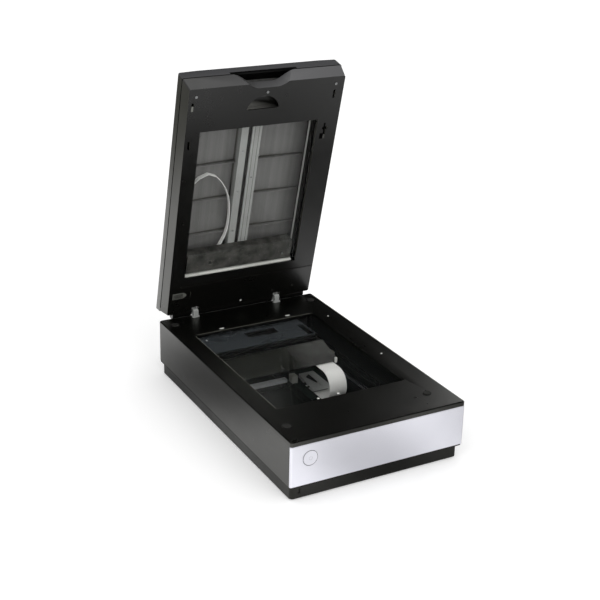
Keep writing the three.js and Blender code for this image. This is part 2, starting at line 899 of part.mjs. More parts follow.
// Silver front: a thin tray whose open side faces the housing.
function makeFront() {
  const shape = (inset) => {
    const s = new THREE.Shape();
    const x = halfWidth - inset;
    const y = -halfDepth + inset;
    s.moveTo(-x, -halfDepth + panelThickness + inset);
    s.lineTo(-x, y + panelEdge);
    s.absarc(-x + panelEdge, y + panelEdge, panelEdge, Math.PI, Math.PI * 1.5);
    s.absarc(x - panelEdge, y + panelEdge, panelEdge, Math.PI * 1.5, Math.PI * 2);
    s.lineTo(x, -halfDepth + panelThickness + inset);
    return s;
  };
  const bottom = housingBottom;
  const top = bandBottom - gap;
  const body = raised(shape(0), bottom, top, 4);
  const back = block(
    -halfWidth + panelSkin,
    halfWidth - panelSkin,
    -halfDepth + panelSkin,
    -halfDepth + panelThickness + overrun,
    bottom + panelSkin,
    top - panelSkin,
  );
  const collar = bar(
    "y",
    -halfDepth + panelSkin / 2,
    -halfDepth + panelThickness,
    buttonX,
    buttonZ,
    buttonRadius + gap + panelSkin,
    28,
  );
  const hole = bar(
    "y",
    -halfDepth - overrun,
    -halfDepth + panelThickness + overrun,
    buttonX,
    buttonZ,
    buttonRadius + gap,
    28,
  );
  piece("front_panel", cut(join(cut(body, back), collar), hole), "silver");
}

function makeButton() {
  const face = -halfDepth - buttonProud;
  const stemEnd = frontWallY + buttonTravel;
  const rounding = buttonCrown;
  const profile = [
    [0, face - buttonCrown / 2],
    [buttonRadius / 2, face - buttonCrown / 3],
    [buttonRadius - rounding, face],
    [buttonRadius, face + rounding],
    [buttonRadius, face + buttonBody],
    [stemRadius, face + buttonBody],
    [stemRadius, stemEnd],
    [0, stemEnd],
  ].map(([r, y]) => new THREE.Vector2(r, y));
  const geometry = new THREE.LatheGeometry(profile, 28).translate(buttonX, 0, buttonZ);
  piece("power_button", toSolid(geometry), "button");
  const boardY = frontWallY + caseWall + switchSide / 3;
  const board = block(
    buttonX - panelBoardWidth / 2,
    buttonX + panelBoardWidth / 2,
    boardY,
    boardY + boardThickness,
    buttonZ - panelBoardHeight / 2,
    buttonZ + panelBoardHeight / 2,
  );
  const switchBody = block(
    buttonX - switchSide / 2,
    buttonX + switchSide / 2,
    stemEnd + buttonTravel + gap,
    boardY + boardThickness / 2,
    buttonZ - switchSide / 2,
    buttonZ + switchSide / 2,
  );
  piece("panel_board", join(board, switchBody), "board");
}

function makeGlass() {
  const ringFrom = glassLap - gasketLap;
  const outside = (grow, z0, z1) =>
    block(bedLeft - grow, bedRight + grow, bedFront - grow, bedRear + grow, z0, z1);
  piece("platen_glass", outside(glassLap, glassTop - glassThickness, glassTop), "glass");
  const bottom = glassTop + gap;
  const gasket = cut(
    outside(glassLap, bottom, bottom + gasketThickness),
    outside(ringFrom, bottom - overrun, bottom + overrun),
  );
  piece("glass_gasket", gasket, "rubber");
}

function makePads() {
  for (const [name, x, y] of padSpots) {
    const bottom = baseTop - padRecess + gap;
    const top = baseTop + padStandsOut;
    const rounding = padStandsOut / 2;
    const profile = [
      [0, bottom],
      [padRadius, bottom],
      [padRadius, top - rounding],
      [padRadius - rounding, top],
      [0, top],
    ].map(([r, z]) => new THREE.Vector2(r, z));
    const geometry = new THREE.LatheGeometry(profile, 18).rotateX(Math.PI / 2).translate(x, y, 0);
    piece(name, toSolid(geometry), "rubber");
  }
}

function makeGuides() {
  piece("guide_rod", bar("y", rodFront, rodRear, rodX, rodZ, rodRadius, 20), "steel");
  const rail = block(
    railX - railWidth / 2,
    railX + railWidth / 2,
    railFront,
    railRear,
    railHeight,
    railHeight + railThickness,
  );
  piece("side_rail", rail, "steel");
}

// Scan carriage: a moulded frame under a glossy plate, a lamp slot, a sloping cover and the optics below.
function makeCarriage() {
  const inner = carriageWall;
  const frameOuter = alongX(
    outline([
      [carriageRear, carriageBottom],
      [carriageRear, frameTop],
      [slotRear, frameTop],
      [slotRear, frameTop - slotDrop],
      [slotFront, frameTop - slotDrop],
      [slotFront, carriageBottom],
    ].reverse()),
    carriageLeft,
    carriageRight,
  );
  const hollowLeft = carriageLeft + inner;
  const hollowRight = carriageRight - inner;
  const rearHollow = block(
    hollowLeft,
    hollowRight,
    slotRear + inner,
    carriageRear - inner,
    carriageBottom - overrun,
    frameTop - inner,
  );
  const slotHollow = block(
    hollowLeft,
    hollowRight,
    slotFront + inner,
    slotRear + inner + gap,
    carriageBottom - overrun,
    frameTop - slotDrop - inner,
  );
  const slotMiddle = (slotFront + slotRear) / 2;
  const windowCut = block(
    hollowLeft + lampDepth,
    hollowRight - lampDepth,
    slotMiddle - slotWindow / 2 - inner,
    slotMiddle + slotWindow / 2 - inner,
    carriageBottom,
    frameTop,
  );
  const topCut = (z0, z1) =>
    block(
      topCutX - topCutWidth / 2,
      topCutX + topCutWidth / 2,
      topCutY - topCutDepth / 2,
      topCutY + topCutDepth / 2,
      z0,
      z1,
    );
  const sideCut = (z0, z1) =>
    block(
      carriageRight - sideCutWidth,
      carriageRight - inner,
      sideCutY - sideCutDepth / 2,
      sideCutY + sideCutDepth / 2,
      z0,
      z1,
    );
  const padFrom = railX - railWidth / 2;
  const padTo = railX + railWidth / 2;
  const padTop = railHeight + railThickness + gap + padThickness;
  const railArm = block(
    padFrom,
    carriageLeft + inner,
    armY + padLength / 2 - padLength,
    armY + padLength / 2,
    padTop + gap,
    carriageBottom + padArmLap,
  );
  const ribbonTop = ribbonAxisZ + ribbonRadius + ribbonThickness / 2;
  const ribbonBar = block(
    ribbonX - ribbonWidth / 2 - inner,
    ribbonX + ribbonWidth / 2 + inner,
    ribbonTopEnd - headerDepth,
    ribbonTopEnd,
    ribbonTop + gap,
    frameTop - inner / 2,
  );
  const lensFrom = bedCentreX - lensWidth / 2;
  const lensTo = bedCentreX + lensWidth / 2;
  const stiffeners = [lensFrom - inner * 2, lensTo + inner].map((x) =>
    block(
      x,
      x + inner / 2,
      slotFront + inner / 2,
      carriageRear - inner / 2,
      carriageBottom,
      frameTop - slotDrop - inner / 2,
    ),
  );
  const frame = cut(
    join(cut(frameOuter, rearHollow, slotHollow), railArm, ribbonBar, stiffeners),
    windowCut,
    topCut(frameTop - inner - overrun, frameTop + overrun),
    sideCut(frameTop - inner - overrun, frameTop + overrun),
  );
  piece("carriage_frame", frame, "blackCase");

  const plate = raised(
    rectangle(carriageLeft, carriageRight, slotRear + gap, carriageRear, carriageWall),
    frameTop + gap,
    carriageTop,
  );
  piece(
    "carriage_plate",
    cut(plate, topCut(frameTop, carriageTop + overrun), sideCut(frameTop, carriageTop + overrun)),
    "bluePlate",
  );

  const shroudRear = slotFront - gap;
  const shroudRise = frameTop - slotDrop;
  const shroud = alongX(
    outline([
      [shroudRear, shroudRise + shroudSheet],
      [shroudFront + shroudSheet, shroudFrontTop],
      [shroudFront, shroudFrontTop - shroudSheet],
      [shroudFront, shroudFrontTop - shroudLip],
      [shroudFront + shroudSheet, shroudFrontTop - shroudLip],
      [shroudFront + shroudSheet, shroudFrontTop - shroudSheet],
      [shroudRear - shroudSheet, shroudRise - shroudSheet / 2],
      [shroudRear - shroudSheet, carriageBottom + shroudSheet],
      [shroudRear, carriageBottom + shroudSheet],
    ]),
    carriageLeft,
    carriageRight,
  );
  piece("carriage_cover", shroud, "glossBlack");

  const lampShape = outline([
    [slotRear - gap, frameTop - slotDrop + gap],
    [slotRear - gap, frameTop - slotDrop + gap + lampHeight],
    [slotRear - gap - lampDepth / 2, frameTop - slotDrop + gap + lampHeight],
    [slotRear - gap - lampDepth, frameTop - slotDrop + gap + lampHeight / 3],
    [slotRear - gap - lampDepth, frameTop - slotDrop + gap],
  ]);
  piece("scan_lamp", alongX(lampShape, hollowLeft, hollowRight), "glossBlack");

  const lensRear = carriageRear - inner - gap - boardThickness - gap * 2;
  const lensFront = lensRear - lensDepth;
  const lensBody = alongY(
    outline([
      [lensFrom, lensBottom + inner],
      [lensFrom + inner, lensBottom],
      [lensTo - inner, lensBottom],
      [lensTo, lensBottom + inner],
      [lensTo, lensTop],
      [lensFrom, lensTop],
    ]),
    lensFront,
    lensRear,
  );
  const barrelZ = lensBottom + lensBarrel + inner;
  const barrelFront = lensFront - lensBarrelLength;
  const barrel = bar("y", barrelFront, lensFront + inner, bedCentreX, barrelZ, lensBarrel, 24);
  const mouth = bar(
    "y",
    lensFront - lensBarrelLength - overrun,
    lensFront - lensBarrelLength / 2,
    bedCentreX,
    barrelZ,
    lensBarrel - inner,
    24,
  );
  piece("lens_unit", cut(join(lensBody, barrel), mouth), "socket");
  const sensor = block(
    lensFrom,
    lensTo,
    lensRear + gap,
    lensRear + gap + boardThickness,
    lensTop - sensorHeight,
    lensTop,
  );
  piece("sensor_board", sensor, "board");

  const blockLeft = rodX - bushingBlock;
  const blockRight = rodX + bushingBlock;
  const armX = carriageRight + gap;
  const arm = alongY(
    outline([
      [armX, frameTop],
      [armX, carriageBottom - padThickness * 2],
      [blockLeft, rodZ + bushingBlock],
      [blockLeft, rodZ - bushingBlock],
      [blockRight, rodZ - bushingBlock],
      [blockRight, rodZ + bushingBlock],
      [blockLeft + armSheet, rodZ + bushingBlock + armSheet * 2],
      [armX + armSheet, carriageBottom - armSheet],
      [armX + armSheet, frameTop],
    ]),
    armY - armWidth / 2,
    armY + armWidth / 2,
  );
  const armFront = armY - armWidth / 2;
  const armRear = armY + armWidth / 2;
  const armBore = bar("y", armFront - overrun, armRear + overrun, rodX, rodZ, bushingOuter + gap, 20);
  piece("carriage_arm", cut(arm, armBore), "blackCase");
  const sleeve = cut(
    bar("y", armFront, armRear, rodX, rodZ, bushingOuter, 20),
    bar("y", armFront - overrun, armRear + overrun, rodX, rodZ, bushingOuter - bushingWall, 20),
  );
  piece("rod_bushing", sleeve, "bronze");

  const pad = block(
    padFrom,
    padTo,
    armY - padLength / 2,
    armY + padLength / 2,
    padTop - padThickness,
    padTop,
  );
  piece("slider_pad", pad, "nylon");

  const clampLeft = blockRight + gap;
  const slotLeft = beltRun - beltThickness / 2 - gap * 2;
  const slotRight = beltRun + beltThickness / 2 + beltTooth + gap * 2;
  const clamp = cut(
    block(
      clampLeft,
      slotRight + clampWall,
      armY - clampLength / 2,
      armY + clampLength / 2,
      beltBottom - gap - clampWall,
      beltTop + gap + clampWall,
    ),
    block(
      slotLeft,
      slotRight,
      armY - clampLength,
      armY + clampLength,
      beltBottom - gap,
      beltTop + gap,
    ),
  );
  piece("belt_clamp", clamp, "nylon");
}

// A gear outline with straight-flanked teeth, thin enough to run free in mesh.
function gearShape(teeth, turn) {
  const radius = (gearModule * teeth) / 2;
  const tip = radius + gearModule * toothTipShare;
  const root = radius - gearModule * toothRootShare;
  const step = (Math.PI * 2) / teeth;
  const shares = [
    [root, -toothRootHalfShare],
    [tip, -toothTipHalfShare],
    [tip, toothTipHalfShare],
    [root, toothRootHalfShare],
  ];
  const points = [];
  for (let i = 0; i < teeth; i++) {
    for (const [r, share] of shares) {
      const angle = turn + (i + share) * step;
      points.push([r * Math.cos(angle), r * Math.sin(angle)]);
    }
  }
  return points;
}

// Belt drive: toothed belt, gear-driven rear pulley, motor with pinion, and front pulley on its bracket.
function makeDrive() {
  const inside = pulleyRadius - beltThickness / 2;
  const outer = new THREE.Shape();
  outer.absarc(beltX, beltSpan, inside + beltThickness, 0, Math.PI);
  outer.absarc(beltX, -beltSpan, inside + beltThickness, Math.PI, Math.PI * 2);
  // The inner outline carries the teeth of both straight runs, and turns plain round the pulleys.
  const inner = [];
  const toothCount = Math.floor((2 * beltSpan) / beltPitch) - 1;
  const turnSteps = 8;
  for (const side of [1, -1]) {
    const root = beltX + side * inside;
    const tip = beltX + side * (inside - beltTooth);
    for (let i = 1; i <= toothCount; i++) {
      const y = side * (-beltSpan + i * beltPitch);
      const half = (side * beltPitch) / 4;
      inner.push([root, y - half], [tip, y - half / 2], [tip, y + half / 2], [root, y + half]);
    }
    for (let i = 0; i <= turnSteps; i++) {
      const a = (Math.PI * i) / turnSteps;
      inner.push([beltX + side * inside * Math.cos(a), side * (beltSpan + inside * Math.sin(a))]);
    }
  }
  outer.holes.push(outline(inner));
  piece("drive_belt", raised(outer, beltBottom, beltTop, 12), "rubber");

  const hubRadius = inside - beltTooth - gap;
  const pulley = (y, z0) => {
    const hub = bar("z", z0, beltTop + gap, beltX, y, hubRadius, 18);
    const flangeTop = bar(
      "z",
      beltTop + gap,
      beltTop + gap + flangeThickness,
      beltX,
      y,
      flangeRadius,
      20,
    );
    return join(hub, flangeTop);
  };
  const bore = (y) => bar("z", -overrun, baseTop, beltX, y, axleRadius + runningGap, 16);
  const gearTop = gearBottom + gearThickness;
  const gear = raised(outline(gearShape(gearTeeth, 0)), gearBottom, gearTop).translate([beltX, beltSpan, 0]);
  const rearPulley = join(gear, pulley(beltSpan, gearTop - flangeThickness));
  piece("drive_gear", cut(rearPulley, bore(beltSpan)), "nylon");

  const toMotor = Math.atan2(motorY - beltSpan, motorX - beltX);
  const gearStep = (Math.PI * 2) / gearTeeth;
  const pinionStep = (Math.PI * 2) / pinionTeeth;
  // The tooth of the gear nearest the pinion stands this share of a step off the line of centres.
  const offLine = toMotor / gearStep - Math.round(toMotor / gearStep);
  const pinionTurn = toMotor + Math.PI + pinionStep * (0.5 + offLine);
  const motorTop = floorTop + gap + motorHeight;
  const pinionOutline = outline(gearShape(pinionTeeth, pinionTurn));
  const pinion = raised(pinionOutline, gearBottom - gap, gearTop + gap).translate([
    motorX,
    motorY,
    0,
  ]);
  const shaft = bar("z", motorTop + motorFlange + gap, gearBottom, motorX, motorY, axleRadius, 16);
  piece("motor_pinion", join(pinion, shaft), "bronze");
  const can = bar("z", floorTop + gap, motorTop, motorX, motorY, motorRadius, 24);
  const plate = raised(
    rectangle(
      motorX - motorRadius - motorEar,
      motorX + motorRadius + motorEar / 2,
      motorY - axleRadius * 3,
      motorY + axleRadius * 3,
      axleRadius * 2,
    ),
    motorTop - motorFlange / 2,
    motorTop + motorFlange,
  );
  piece("drive_motor", join(can, plate), "sheetMetal");

  const frontPulley = cut(
    join(
      pulley(-beltSpan, beltBottom - gap),
      bar("z", beltBottom - gap - flangeThickness, beltBottom - gap, beltX, -beltSpan, flangeRadius, 20),
    ),
    bore(-beltSpan),
  );
  piece("idler_pulley", frontPulley, "nylon");
  const bracketTop = beltBottom - gap * 2 - flangeThickness;
  const legDepth = flangeRadius + clampWall;
  const bracket = join(
    block(
      beltX - flangeRadius,
      beltX + flangeRadius,
      -beltSpan - legDepth,
      -beltSpan + legDepth,
      bracketTop - motorFlange * 2,
      bracketTop,
    ),
    block(
      beltX - flangeRadius,
      beltX + flangeRadius,
      -beltSpan - legDepth,
      -beltSpan - legDepth + motorFlange * 2,
      floorTop + gap,
      bracketTop,
    ),
    block(
      beltX - flangeRadius,
      beltX + flangeRadius,
      -beltSpan - legDepth,
      -beltSpan + legDepth,
      floorTop + gap,
      floorTop + gap + motorFlange * 2,
    ),
    bar(
      "z",
      bracketTop - motorFlange,
      beltTop + gap + flangeThickness * 2,
      beltX,
      -beltSpan,
      axleRadius,
      16,
    ),
  );
  piece("idler_bracket", bracket, "sheetMetal");
}

// The loop of flat cable ahead of the carriage, and what lies on the floor of the base.
function makeElectronics() {
  const path = (side) => {
    const r = ribbonRadius + (side * ribbonThickness) / 2;
    const points = [[ribbonTopEnd, ribbonAxisZ + r]];
    const steps = 14;
    for (let i = 0; i <= steps; i++) {
      const a = Math.PI / 2 + (Math.PI * i) / steps;
      points.push([ribbonAxisY + r * Math.cos(a), ribbonAxisZ + r * Math.sin(a)]);
    }
    points.push([ribbonLowEnd, ribbonAxisZ - r]);
    return points;
  };
  const loopShape = outline([...path(1), ...path(-1).reverse()]);
  piece(
    "ribbon_cable",
    alongX(loopShape, ribbonX - ribbonWidth / 2, ribbonX + ribbonWidth / 2),
    "ribbon",
  );

  const boardTop = mainBoardBottom + boardThickness;
  const board = block(
    mainBoardLeft,
    mainBoardRight,
    mainBoardFront,
    mainBoardRear,
    mainBoardBottom,
    boardTop,
  );
  const header = block(
    ribbonX - ribbonWidth / 2 - gap,
    ribbonX + ribbonWidth / 2 + gap,
    ribbonLowEnd + gap,
    ribbonLowEnd + gap + headerDepth,
    boardTop - boardThickness / 2,
    boardTop + headerHeight - gap * 4,
  );
  const chip = block(
    mainBoardRight - headerDepth * 2,
    mainBoardRight - headerDepth / 2,
    mainBoardFront + headerDepth,
    mainBoardFront + headerDepth * 3,
    boardTop - boardThickness / 2,
    boardTop + boardThickness,
  );
  piece("main_board", join(board, header, chip), "board");

  const plan = (z0, z1, points) => raised(outline(points), z0, z1);
  const shieldPlan = [
    [shieldLeftFront, shieldFront],
    [shieldRight, shieldFront],
    [shieldRight, shieldRear],
    [shieldLeftRear, shieldRear],
  ];
  const sheet = plan(shieldTop - shieldSheet, shieldTop, shieldPlan);
  const legFront = ribbonLowEnd + headerDepth * 1.5;
  const legLeft =
    shieldLeftFront +
    ((shieldLeftRear - shieldLeftFront) * (legFront - shieldFront)) / (shieldRear - shieldFront);
  const leftLeg = plan(boardTop + gap, shieldTop, [
    [legLeft, legFront],
    [legLeft + shieldSheet, legFront],
    [shieldLeftRear + shieldSheet, shieldRear],
    [shieldLeftRear, shieldRear],
  ]);
  const rightLeg = block(
    shieldRight - shieldSheet,
    shieldRight,
    shieldFront,
    shieldRear,
    boardTop + gap,
    shieldTop,
  );
  const hatchShares = [
    [0.15, 0.78],
    [0.55, 0.9],
    [0.5, 0.16],
  ];
  const hatch = plan(
    shieldTop - shieldSheet - gap,
    shieldTop + gap,
    hatchShares.map(([a, b]) => [
      shieldLeftRear + a * (shieldRight - shieldLeftRear),
      shieldFront + b * (shieldRear - shieldFront),
    ]).reverse(),
  );
  piece("board_shield", cut(join(sheet, leftLeg, rightLeg), hatch), "sheetMetal");

  const channel = cut(
    block(barLeft, barRight, barFront, barRear, barBottom, barTop),
    block(
      barLeft + shieldSheet,
      barRight - shieldSheet,
      barFront + shieldSheet,
      barRear - shieldSheet,
      barBottom - overrun,
      barTop - shieldSheet,
    ),
  );
  piece("stiffener_bar", channel, "sheetMetal");
  const plug = join(
    block(plugLeft, plugRight, plugFront, plugRear, boardTop + gap, plugTop),
    block(
      plugLeft - gap * 3,
      plugLeft + gap,
      plugFront + gap * 6,
      plugRear - gap * 6,
      boardTop + gap * 6,
      plugTop - gap * 6,
    ),
  );
  piece("power_plug", plug, "lightPlastic");
}

// Sockets and the transit lock in the back wall.
function makeRear() {
  const back = halfDepth - gap;
  const inner = halfDepth - caseWall - gap;
  const boxSocket = (name, x, width, height, finish) => {
    const body = join(
      block(
        x - width / 2,
        x + width / 2,
        halfDepth - portDepth,
        back,
        portZ - height / 2,
        portZ + height / 2,
      ),
      block(
        x - width / 2 - portFlange,
        x + width / 2 + portFlange,
        inner - portFlangeThickness,
        inner,
        portZ - height / 2 - portFlange,
        portZ + height / 2 + portFlange,
      ),
    );
    const mouth = block(
      x - width / 2 + portWall,
      x + width / 2 - portWall,
      halfDepth - portDepth + portWall,
      halfDepth + overrun,
      portZ - height / 2 + portWall,
      portZ + height / 2 - portWall,
    );
    piece(name, cut(body, mouth), finish);
  };
  boxSocket("usb_socket", usbX, usbWidth, usbHeight, "steel");
  boxSocket("lid_socket", lidPortX, lidPortWidth, lidPortHeight, "socket");
  const jack = join(
    bar("y", halfDepth - portDepth, back, powerX, portZ, powerRadius, 18),
    block(
      powerX - powerRadius - portFlange,
      powerX + powerRadius + portFlange,
      inner - portFlangeThickness,
      inner,
      portZ - powerRadius - portFlange,
      portZ + powerRadius + portFlange,
    ),
  );
  const bore = bar("y", halfDepth - portDepth + portWall, halfDepth + overrun, powerX, portZ, powerBore, 14);
  const pin = bar("y", halfDepth - portDepth, back - portWall, powerX, portZ, powerPin, 8);
  piece("power_inlet", join(cut(jack, bore), pin), "socket");

  const knob = join(
    bar("y", inner - lockHead, back, lockX, lockZ, lockRadius, 28),
    bar("y", inner - lockHead - lockStemLength, inner, lockX, lockZ, lockStemRadius, 14),
    block(
      lockX - lockStemRadius / 2,
      lockX + lockRadius,
      inner - lockHead - lockStemLength,
      inner - lockHead - lockStemLength + lockBolt,
      lockZ - lockStemRadius / 2,
      lockZ + lockStemRadius / 2,
    ),
  );
  const coinSlot = block(
    lockX - lockRadius * lockSlotShare,
    lockX + lockRadius * lockSlotShare,
    back - lockSlotDepth,
    back + overrun,
    lockZ - lockSlotWidth / 2,
    lockZ + lockSlotWidth / 2,
  );
  piece("transit_lock", cut(knob, coinSlot), "greyCase");
}

// Hinge posts: blades that lift out of wells in the base, each with a knuckle round its pin.
function makeHinge() {
  const names = ["hinge_post_left", "hinge_post_right"];
  const pinNames = ["hinge_pin_left", "hinge_pin_right"];
  postXs.forEach((x, i) => {
    const rounding = postDepth / 3;
    const blade = alongX(
      outline([
        [postFront, postBottom],
        [postFront + postDepth, postBottom],
        [postFront + postDepth, postTop - rounding],
        [postFront + postDepth - rounding, postTop],
        [postFront + rounding, postTop],
        [postFront, postTop - rounding],
      ]),
      x - postWidth / 2,
      x + postWidth / 2,
    );
    const knuckle = bar("x", x - postWidth / 2, x + postWidth / 2, hingeY, hingeZ, knuckleRadius, 20);
    const neck = block(
      x - postWidth / 2,
      x + postWidth / 2,
      postFront + postDepth / 2,
      hingeY,
      hingeZ - knuckleRadius / 2,
      hingeZ + knuckleRadius / 2,
    );
    const foot = alongY(
      outline([
        [x - postFootWidth / 2, baseTop + gap],
        [x + postFootWidth / 2, baseTop + gap],
        [x + postFootWidth / 2, baseTop + gap + postFootHeight / 2],
        [x + postWidth / 2, baseTop + gap + postFootHeight],
        [x - postWidth / 2, baseTop + gap + postFootHeight],
        [x - postFootWidth / 2, baseTop + gap + postFootHeight / 2],
      ]),
      postFront,
      postFront + postFootDepth,
    );
    const pinWay = bar("x", x - postWidth, x + postWidth, hingeY, hingeZ, pinRadius + gap, 14);
    piece(names[i], cut(join(blade, knuckle, neck, foot), pinWay), "lightPlastic", hingeLift);
    const pin = bar("x", x - pinLength / 2, x + pinLength / 2, 0, 0, pinRadius, 20);
    piece(pinNames[i], pin, "steel", lidTurn);
  });
}

// The lid's plan at a height above its inner face: the free edge leans out, the rear edge slopes.
function lidPlan(z, inset, radius = lidPlanRadius) {
  const share = Math.min(z / lidParting, 1);
  const half = lidHalfInner + (lidHalfOuter - lidHalfInner) * share - inset;
  const front = -(lidLength + lidBandSlope * share) + inset;
  const rear = z * rearSlope - inset;
  return ringOf(-half, half, front, rear, Math.max(radius - inset, gap * 2), z);
}

function scoopOutline(offset) {
  const edge = -(lidLength + lidBandSlope);
  const floor = edge + scoopDepth + offset;
  const flat = scoopFlat;
  const half = scoopHalf + offset;
  const steps = 8;
  const points = [];
  for (const side of [-1, 1]) {
    const flank = [];
    for (let i = 0; i <= steps; i++) {
      const t = i / steps;
      const rise = (1 - Math.cos(Math.PI * t)) / 2;
      flank.push([scoopCentre + side * (half - (half - flat) * t), edge + (floor - edge) * rise]);
    }
    points.push(...(side < 0 ? flank : flank.reverse()));
  }
  points.unshift([scoopCentre - half, edge - overrun * 2]);
  points.push([scoopCentre + half, edge - overrun * 2]);
  return outline(points.reverse());
}

// Inner half of the lid: face with the lamp window, bevelled rim with the grip scoop, and the hinge barrel.
function makeInnerCase() {
  const top = lidParting - lidGroove / 2;
  const outer = loft([lidPlan(0, 0), lidPlan(top, 0)]);
  const hollow = loft([
    lidPlan(lidWall, lidWall),
    lidPlan(top, lidWall),
    lidPlan(lidParting + overrun, lidWall),
  ]);
  const shell = cut(outer, hollow);
  const scoop = raised(scoopOutline(0), -overrun, lidParting + overrun);
  const scoopWall = raised(scoopOutline(lidWall), 0, top).intersect(outer);

  const moonMiddle = -(moonEdge + moonRise) + moonRadius;
  const moonShape = (grow, thick) => {
    const disc = bar("z", -overrun, thick, bedCentreX, moonMiddle, moonRadius + grow, 36);
    const keep = block(
      bedCentreX - moonRadius * 2,
      bedCentreX + moonRadius * 2,
      -(moonEdge + moonRise * 2),
      -moonEdge + grow,
      -overrun * 2,
      thick + overrun,
    );
    return disc.intersect(keep);
  };
  const moonWall = lidWall * moonWallShare;
  const moonCup = moonShape(moonWall, moonDepth + moonWall).intersect(
    block(-lidHalfInner, lidHalfInner, -lidLength, 0, 0, lidParting),
  );
  const moonSlope = alongX(
    outline([
      [-moonEdge - moonRise * 2, 0],
      [-moonEdge - moonRise, 0],
      [-moonEdge, moonDepth],
      [-moonEdge + overrun, moonDepth],
      [-moonEdge + overrun, moonDepth + overrun],
      [-moonEdge - moonRise * 2, moonDepth + overrun],
    ].reverse()),
    -moonRadius * 2,
    moonRadius * 2,
  );
  const moonCut = cut(moonShape(0, moonDepth), moonSlope);

  const window = block(
    bedCentreX - windowWidth / 2,
    bedCentreX + windowWidth / 2,
    -windowFront,
    -windowRear,
    -overrun,
    lidWall + overrun,
  );
  const glassSeat = lidGlassLap + gap;
  const seatWall = cut(
    block(
      bedCentreX - windowWidth / 2 - glassSeat - lidWall / 2,
      bedCentreX + windowWidth / 2 + glassSeat + lidWall / 2,
      -windowFront - glassSeat - lidWall / 2,
      -windowRear + glassSeat + lidWall / 2,
      lidWall / 2,
      lidWall + lidGlassThickness + gap,
    ),
    block(
      bedCentreX - windowWidth / 2 - glassSeat,
      bedCentreX + windowWidth / 2 + glassSeat,
      -windowFront - glassSeat,
      -windowRear + glassSeat,
      -overrun,
      lidWall + lidGlassThickness + overrun,
    ),
  );
  const ridge = block(ridgeLeft, ridgeRight, -ridgeAt - ridgeWidth, -ridgeAt, -ridgeHeight, lidWall / 2);

  const axisY = hingeRear;
  const axisZ = faceDrop;
  const barrel = bar("x", -barrelHalf, barrelHalf, axisY, axisZ, barrelRadius, 28);
  const pinWay = bar("x", -barrelHalf - overrun, barrelHalf + overrun, axisY, axisZ, pinRadius + gap, 20);
  const postWays = postXs.map((x) =>
    bar("x", x - postFootWidth / 2 - gap * 2, x + postFootWidth / 2 + gap * 2, axisY, axisZ, postSweep, 32),
  );
  const hooks = [];
  for (const side of [-1, 1]) {
    for (const at of [hookFrontAt, hookMidAt]) {
      const tee = side > 0 && at === hookMidAt;
      const rightX = tee ? lidHalfInner - hookTeeInset : hookInnerX - hookSlotWidth * 2;
      const x = side < 0 ? -hookInnerX : rightX;
      if (tee) {
        hooks.push(
          block(
            x - hookTeeWidth / 2,
            x + hookTeeWidth / 2,
            -at - hookSlotLength / 2,
            -at - hookSlotLength / 2 + hookTeeDepth,
            -overrun,
            lidWall + overrun,
          ),
        );
      }
      hooks.push(
        block(
          x - hookSlotWidth / 2,
          x + hookSlotWidth / 2,
          -at - hookSlotLength / 2,
          -at + hookSlotLength / 2,
          -overrun,
          lidWall + overrun,
        ),
      );
    }
  }
  const lockRecess = block(
    lockSliderX - lockSliderLength / 2 - gap,
    lockSliderX + lockSliderLength / 2 + lockSliderTravel + gap,
    -lockSliderAt - lockSliderWidth / 2 - gap,
    -lockSliderAt + lockSliderWidth / 2 + gap,
    -overrun,
    lockSliderThickness + gap,
  );
  const lockBed = block(
    lockSliderX - lockSliderLength / 2 - lidWall,
    lockSliderX + lockSliderLength / 2 + lockSliderTravel + lidWall,
    -lockSliderAt - lockSliderWidth / 2 - lidWall,
    -lockSliderAt + lockSliderWidth / 2 + lidWall,
    lidWall / 2,
    lockSliderThickness + gap + lidWall / 2,
  );
  const lockSlot = block(
    lockSliderX - lockSlotHalf - gap,
    lockSliderX + lockSlotHalf + lockSliderTravel + gap,
    -lockSliderAt - lockSlotHalf - gap,
    -lockSliderAt + lockSlotHalf + gap,
    -overrun,
    lidWall * 2 + overrun,
  );
  const solid = cut(
    join(cut(shell, window), scoopWall, moonCup, seatWall, ridge, barrel, lockBed),
    scoop,
    moonCut,
    pinWay,
    postWays,
    hooks,
    lockRecess,
    lockSlot,
  );
  piece("lid_inner_case", solid, "blackCase", lid);
}

